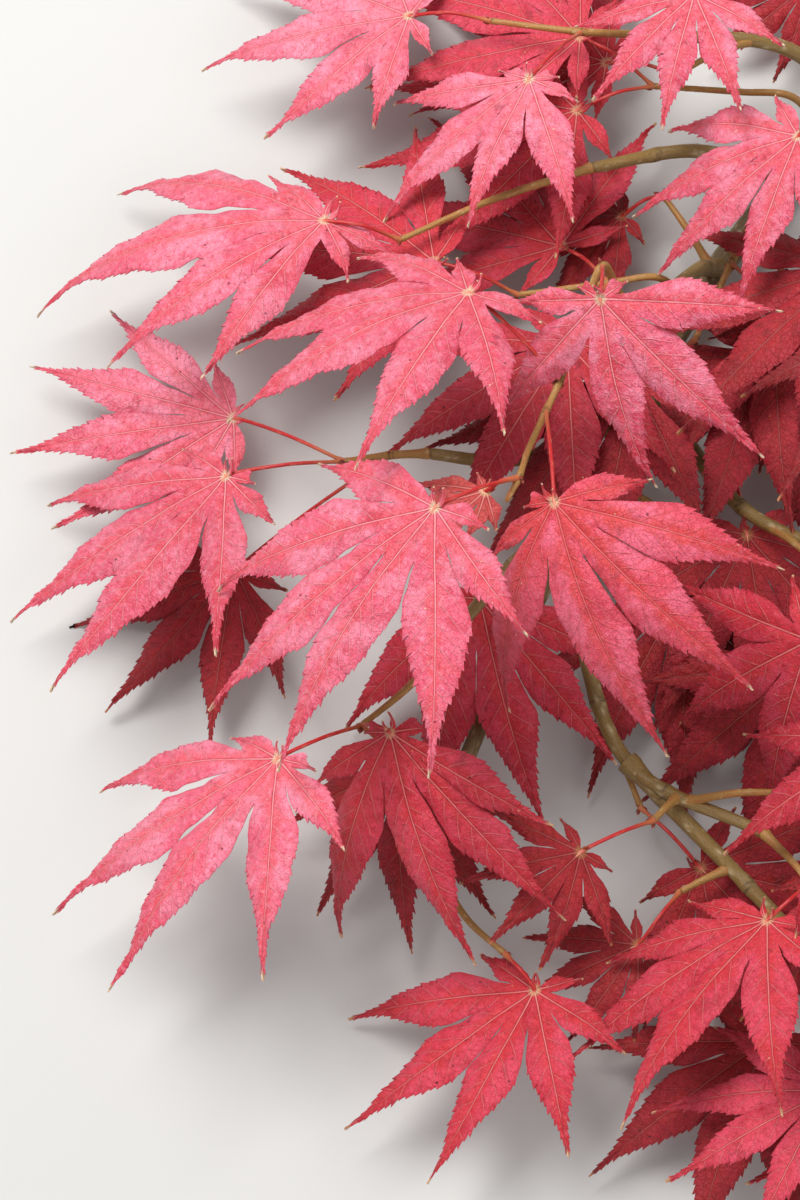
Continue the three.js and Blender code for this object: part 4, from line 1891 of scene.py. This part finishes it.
@dataclass
class Wood:
    """The cut stem and its boughs, each one piece of bark."""

    shift: Points
    stem_foot: float = 3.8
    stem_tip: float = 1.5
    bough_foot: float = 1.9
    bough_tip: float = 1.25
    stem_skin: Skin = Skin(34, 0.5)
    bough_skin: Skin = Skin(22, 0.5)
    limbs: dict[str, Limb] = field(default_factory=dict)
    taken: list[Points] = field(default_factory=list)

    def grow(self) -> None:
        """Works out every limb's curve."""
        stem = Curve(STEM_PATH)
        self.limbs[MAIN_STEM] = Limb(MAIN_STEM, stem, self.stem_foot, self.stem_tip)
        for name, parent, along, path in BOUGHS:
            root, inside = self.socket(parent, along)
            curve = Curve((root, *path))
            self.limbs[name] = Limb(name, curve, self.bough_foot, self.bough_tip, inside)

    def socket(self, name: str, along: float) -> tuple[Place, float]:
        """Where a limb springs from another: the place on its axis, and its radius there."""
        parent = self.limbs[name]
        return tuple(parent.curve.spaced([along])[0]), parent.bare_radius(along)

    def build(self) -> None:
        """Builds every limb's bark, with the cut across the stem's foot."""
        dressing = [BARK.build(), CUT_WOOD.build()]
        for number, limb in enumerate(self.limbs.values()):
            draft = Draft()
            main = limb.name == MAIN_STEM
            skin = self.stem_skin if main else self.bough_skin
            skin.add(draft, limb, number, cut=main)
            piece = draft.piece(f"bark_{limb.name}", self.shift, dressing)
            attach(piece, Slot.WOOD, limb.name)
            self.taken.extend(draft.points)
        LOG.info("wood: %d limbs", len(self.limbs))


def attach(piece: bpy.types.Object, slot: Slot, node: str | None) -> None:
    """Rides a piece on the branch, in the place of one of its solids where it names one."""
    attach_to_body(piece, BODY)
    if node:
        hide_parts(node)


class Room:
    """The space round the branch in small cells, and which of them its pieces take."""

    def __init__(self, taken: Points, cell: float) -> None:
        """Marks the cells of some places, and those next to them."""
        self.cell = cell
        self.low = taken.min(axis=0) - 2 * cell
        self.high = taken.max(axis=0)
        self.full = np.zeros(np.ceil((self.high - self.low) / cell).astype(int) + 4, bool)
        self.take(taken)

    def cells(self, places: Points) -> Points:
        """The cell of each place."""
        limit = np.array(self.full.shape) - 2
        return np.clip(((places - self.low) / self.cell).astype(int), 1, limit)

    def take(self, places: Points) -> None:
        """Marks the cells of some places, and those next to them."""
        x, y, z = self.cells(places).T
        for dx, dy, dz in np.ndindex(3, 3, 3):
            self.full[x + dx - 1, y + dy - 1, z + dz - 1] = True

    def free(self, places: Points) -> bool:
        """Whether no place is in a cell that is taken."""
        return not self.full[tuple(self.cells(places).T)].any()

    def holds(self, places: Points, margin: float) -> bool:
        """Whether every place is inside the branch's own reach."""
        low = self.low + 2 * self.cell + margin
        return bool((places >= low).all() and (places <= self.high - margin).all())


@dataclass(frozen=True)
class Infill:
    """Finer twigs from the limbs, each with a small leaf, dark as painted shade, where the branch is
    bare.

    It draws twigs at random, keeps those that hang clear, and of them takes the one whose leaf
    covers most of the bare ground near the wood, until none covers enough. Angles are degrees,
    and each pair is a range that draws are made from.
    """

    count: int = 18
    tries: int = 16000
    seed: int = 23
    cell: float = 1.1
    near_wood: float = 32
    least_cover: float = 0.14
    margin: float = 1.0
    highest: float = 46.0
    furthest: float = 0.8
    clearance: float = 2.4
    headings: tuple[float, float] = (180, 320)
    twig_turns: tuple[float, float] = (-80, 80)
    twig_rises: tuple[float, float] = (-0.2, 0.9)
    twig_lengths: tuple[float, float] = (8, 24)
    stalk_turns: tuple[float, float] = (-40, 40)
    stalk_rises: tuple[float, float] = (0.0, 0.5)
    stalk_lengths: tuple[float, float] = (8, 20)
    pitches: tuple[float, float] = (-18, 10)
    rolls: tuple[float, float] = (-20, 24)
    leaf_lengths: tuple[float, float] = (26, 44)
    droops: tuple[float, float] = (0.1, 0.3)

    def fan(self, leaf: Leaf, blade: Blade) -> Points:
        """Places all over a leaf, as if its lobes were webbed."""
        angles = np.radians(np.arange(-118, 119, 3.5))
        known = np.radians(blade.angles)
        reach = np.interp(np.abs(angles), known, blade.reaches) * leaf.length
        shares = np.linspace(0.06, 1, 34)
        far = reach[:, None] * shares
        flat = np.stack([np.sin(angles)[:, None] * far, np.cos(angles)[:, None] * far], -1)
        return leaf.place(flat.reshape(-1, 2), 0.0)

    def draw(
        self, random: np.random.Generator, roots: Sequence[tuple[Limb, float, Points]]
    ) -> tuple[Spray, Points]:
        """Draws a twig with one leaf.

        Args:
            random: Where the draws come from.
            roots: The limbs, shares along them and places that it may spring from.

        Returns:
            The spray, and places along its twig and its petiole past the limb.
        """
        limb, along, root = roots[random.integers(len(roots))]
        heading = random.uniform(*self.headings)
        turn = math.radians(heading + random.uniform(*self.twig_turns))
        twig = np.array([math.cos(turn), math.sin(turn), random.uniform(*self.twig_rises)])
        twig = twig * random.uniform(*self.twig_lengths)
        lead = math.radians(heading + random.uniform(*self.stalk_turns))
        stalk = np.array([math.cos(lead), math.sin(lead), random.uniform(*self.stalk_rises)])
        stalk = stalk * random.uniform(*self.stalk_lengths)
        halfway = root + twig * 0.5 + (0, 0, 1.2)
        end = root + twig
        base = end + stalk
        ranges = (self.pitches, self.rolls, self.leaf_lengths, self.droops)
        leaf = Leaf(2, tuple(base), heading, *(random.uniform(*limits) for limits in ranges))
        shares = np.linspace(0, 1, 14)[:, None]
        turns = (root, halfway, end, base)
        stem = np.concatenate([a + (b - a) * shares for a, b in zip(turns, turns[1:])])
        clear = np.linalg.norm(stem - root, axis=1) > limb.bare_radius(along) + self.clearance
        path = (tuple(halfway), tuple(end))
        return Spray("infill", limb.name, along, path, (leaf,), Tone.SHADED_WINE), stem[clear]

    def sprays(self, taken: Points, limbs: Sequence[Limb], blade: Blade) -> list[Spray]:
        """Chooses the sprays.

        Args:
            taken: Places all over the branch's other pieces.
            limbs: The stem and its boughs.
            blade: How the leaves are cut.

        Returns:
            The sprays that it takes, in the order of their cover.
        """
        random = np.random.default_rng(self.seed)
        room = Room(taken, self.cell)
        bare = ~room.full.any(axis=2)
        shares = np.linspace(0.04, self.furthest, 40)
        places = [limb.curve.spaced(shares) for limb in limbs]
        wood = np.concatenate(places)
        roots = [
            (limb, share, place)
            for limb, along in zip(limbs, places)
            for share, place in zip(shares, along)
        ]
        spots = np.stack(np.meshgrid(*map(np.arange, bare.shape), indexing="ij"), -1) * self.cell
        gaps = spots[:, :, None] + room.low[:2] - wood[:, :2]
        bare &= np.linalg.norm(gaps, axis=3).min(axis=2) < self.near_wood
        drawn = [self.draw(random, roots) for _ in range(self.tries)]
        open_ones = []
        for spray, stem in drawn:
            fan = self.fan(spray.leaves[0], blade)
            whole = np.concatenate([fan, stem])
            low_enough = whole[:, 2].max() < self.highest
            if len(stem) and low_enough and room.holds(whole, self.margin) and room.free(whole):
                open_ones.append((spray, stem, fan))
        chosen = []
        while open_ones and len(chosen) < self.count:
            covers = []
            for _, _, fan in open_ones:
                x, y, _ = room.cells(fan).T
                covers.append(bare[x, y].mean())
            best = int(np.argmax(covers))
            if covers[best] < self.least_cover:
                break
            spray, stem, fan = open_ones.pop(best)
            x, y, _ = room.cells(fan).T
            bare[x, y] = False
            room.take(np.concatenate([fan, stem]))
            chosen.append(spray)
            open_ones = [one for one in open_ones if room.free(one[2]) and room.free(one[1])]
        LOG.info("infill: %d twigs of %d that hang clear", len(chosen), len(open_ones) + len(chosen))
        return chosen


@dataclass
class Foliage:
    """Every spray: a twig with its buds, its petioles and its leaves."""

    shift: Points
    wood: Wood
    twig_foot: float = 0.98
    twig_tip: float = 0.6
    twig_skin: Skin = Skin(16, 0.45, TWIG_RELIEF)
    stalk: Stalk = Stalk()
    bud: Bud = Bud()
    blade: Blade = Blade()
    infill: Infill = Infill()
    taken: list[Points] = field(default_factory=list)
    dressings: dict[Tone | Slot, list[bpy.types.Material]] = field(default_factory=dict)

    def build(self) -> None:
        """Builds the sprays and the layers, and then the infill between them."""
        self.dressings[Slot.WOOD] = [TWIG_BARK.build(), BUD.build()]
        self.dressings[Slot.FOLIAGE] = [STALK.build()]
        for tone, finish in LEAF_TINTS.items():
            self.dressings[tone] = [finish.build(), finish.underside().build()]
        noise = seeded_noise()
        rule = LayerRule()
        layers = [rule.spray(layer, self.wood.limbs, noise) for layer in LAYERS]
        shown = (*SPRAYS, *layers)
        for number, spray in enumerate(shown):
            self.dress(spray, number, spray.name, spray.name)
        limbs = list(self.wood.limbs.values())
        taken = np.concatenate([*self.wood.taken, *self.taken])
        for number, spray in enumerate(self.infill.sprays(taken, limbs, self.blade)):
            self.dress(spray, len(shown) + number, f"infill_{number + 1}", None)

    def dress(self, spray: Spray, number: int, name: str, node: str | None) -> None:
        """Builds one spray's pieces.

        Args:
            spray: The spray.
            number: What its small differences start from.
            name: What its pieces are called after.
            node: The solid that they stand for, if they do.
        """
        twig = self.twig(spray)
        draft = Draft()
        self.add_twig(draft, twig, spray, number)
        self.hang(draft, f"twig_{name}", Slot.WOOD, Slot.WOOD, node)
        draft = Draft()
        for leaf in spray.leaves:
            self.stalk.add(draft, twig.curve, leaf)
        self.hang(draft, f"petioles_{name}", Slot.FOLIAGE, Slot.FOLIAGE, node)
        for index, leaf in enumerate(spray.leaves):
            draft = Draft()
            LeafBlade(leaf, self.blade, 100 * number + index).add_to(draft)
            self.hang(draft, f"leaf_{name}_{index + 1}", leaf.tone or spray.tone, Slot.FOLIAGE, node)
        LOG.info("%s: %d leaves", name, len(spray.leaves))

    def hang(
        self, draft: Draft, name: str, dressing: Tone | Slot, slot: Slot, node: str | None
    ) -> None:
        """Makes a draft's piece, attaches it and keeps its places."""
        attach(draft.piece(name, self.shift, self.dressings[dressing]), slot, node)
        self.taken.extend(draft.points)

    def twig(self, spray: Spray) -> Limb:
        """Works out a spray's twig."""
        root, inside = self.wood.socket(spray.limb, spray.along)
        start = inside if spray.along < 1 else 0.6
        return Limb(spray.name, Curve((root, *spray.path)), self.twig_foot, self.twig_tip, start)

    def add_twig(self, draft: Draft, twig: Limb, spray: Spray, seed: int) -> None:
        """Adds a twig with a ring and buds at each node.

        Args:
            draft: The piece, whose material 1 is the buds'.
            twig: The twig.
            spray: The spray that it carries.
            seed: What its small differences start from.
        """
        points = np.array(twig.curve.points, float)
        lengths = np.concatenate([[0], np.cumsum(np.linalg.norm(np.diff(points, axis=0), axis=1))])
        lengths = lengths / lengths[-1] * twig.curve.length()
        used = sorted({leaf.node for leaf in spray.leaves})
        self.twig_skin.add(draft, twig, seed, [lengths[node] for node in used])
        random = np.random.default_rng(seed + 50)
        for leaf in spray.leaves:
            foot = points[leaf.node]
            away = np.array(leaf.at) - foot
            away = away / np.linalg.norm(away)
            back = points[leaf.node] - points[leaf.node - 1]
            towards = back / np.linalg.norm(back) + 0.55 * away
            side = away - np.dot(away, back) / np.dot(back, back) * back
            side = side / max(np.linalg.norm(side), 1e-6)
            size = random.uniform(0.7, 1.0)
            self.bud.add(draft, foot + side * 0.55, towards, size, 1)
            self.bud.add(draft, foot - side * 0.45, towards - 1.1 * away, size * 0.8, 1)


@dataclass(frozen=True)
class Studio:
    """The pale floor, the soft light and the camera."""

    shift: Points
    floor_size: float = 6.0
    floor_colour: Colour = linear(208, 206, 202)
    sky: Colour = (0.92, 0.95, 1.0)
    sky_strength: float = 0.46
    focus: Place = (0, 0, 50)
    elevation: float = 75
    distance: float = 700
    lens: float = 102.4
    sensor: float = 36
    key_place: Place = (-330, 440, 950)
    key_power: float = 12.4
    key_size: float = 0.55
    fill_place: Place = (620, -500, 700)
    fill_power: float = 3
    fill_size: float = 0.8

    def build(self) -> None:
        """Builds the floor, lights and camera."""
        self.floor()
        self.world()
        self.light("key", self.key_place, self.key_power, self.key_size)
        self.light("fill", self.fill_place, self.fill_power, self.fill_size)
        self.camera()
        LOG.info("studio ready")

    def floor(self) -> None:
        """Lays the floor under the branch."""
        half = self.floor_size / 2
        corners = [(-half, -half, 0), (half, -half, 0), (half, half, 0), (-half, half, 0)]
        mesh = bpy.data.meshes.new("floor")
        mesh.from_pydata(corners, [], [(0, 1, 2, 3)])
        finish = {"Base Color": (*self.floor_colour, 1.0), "Roughness": 0.9}
        mesh.materials.append(Graph("floor").finish(finish))
        floor = bpy.data.objects.new("floor", mesh)
        bpy.context.scene.collection.objects.link(floor)
        floor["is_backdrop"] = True

    def world(self) -> None:
        """Lights everything softly from all round."""
        world = bpy.data.worlds.new("studio")
        world.use_nodes = True
        background = world.node_tree.nodes["Background"]
        background.inputs["Color"].default_value = (*self.sky, 1.0)
        background.inputs["Strength"].default_value = self.sky_strength
        bpy.context.scene.view_settings.view_transform = "Standard"
        bpy.context.scene.world = world

    def place(self, place: Place) -> Vector:
        """A place of the layout, in the frame's metres."""
        return Vector((np.array(place, float) + self.shift) * MM)

    def aimed(self, made: bpy.types.Object, place: Place) -> None:
        """Links a light or camera at a place, turned to the middle of the branch."""
        bpy.context.scene.collection.objects.link(made)
        made.location = self.place(place)
        towards = self.place(self.focus) - made.location
        made.rotation_euler = towards.to_track_quat("-Z", "Y").to_euler()

    def light(self, name: str, place: Place, power: float, size: float) -> None:
        """Adds a square soft light."""
        lamp = bpy.data.lights.new(name, "AREA")
        lamp.energy = power
        lamp.size = size
        self.aimed(bpy.data.objects.new(name, lamp), place)

    def camera(self) -> None:
        """Looks down at the branch from the front."""
        angle = math.radians(self.elevation)
        x, y, z = self.focus
        place = (x, y - self.distance * math.cos(angle), z + self.distance * math.sin(angle))
        lens = bpy.data.cameras.new("camera")
        lens.lens = self.lens
        lens.sensor_width = self.sensor
        lens.clip_start = 0.01
        made = bpy.data.objects.new("camera", lens)
        self.aimed(made, place)
        bpy.context.scene.camera = made


def mount_place(record: dict, name: str) -> Points:
    """Where a mount of the record is, in millimetres."""
    mount = next(mount for mount in record["mounts"] if mount["name"] == name)
    return np.array(mount["pos_m"]) / MM


def corners(box: Sequence) -> list[list[float]]:
    """A box's lowest and highest corners as plain lists."""
    return [[float(value) for value in corner] for corner in box]


def main() -> None:
    """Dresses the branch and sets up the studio."""
    logging.basicConfig(level=logging.INFO, format="%(name)s: %(message)s")
    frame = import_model()
    solid_box = corners(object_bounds())
    shift = mount_place(frame["record"], CUT_MOUNT) - np.array(STEM_PATH[0], float)
    Studio(shift).build()
    wood = Wood(shift)
    wood.grow()
    wood.build()
    Foliage(shift, wood).build()
    {"cad": solid_box, "visual": corners(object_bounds())}


if __name__ == "__main__":
    main()
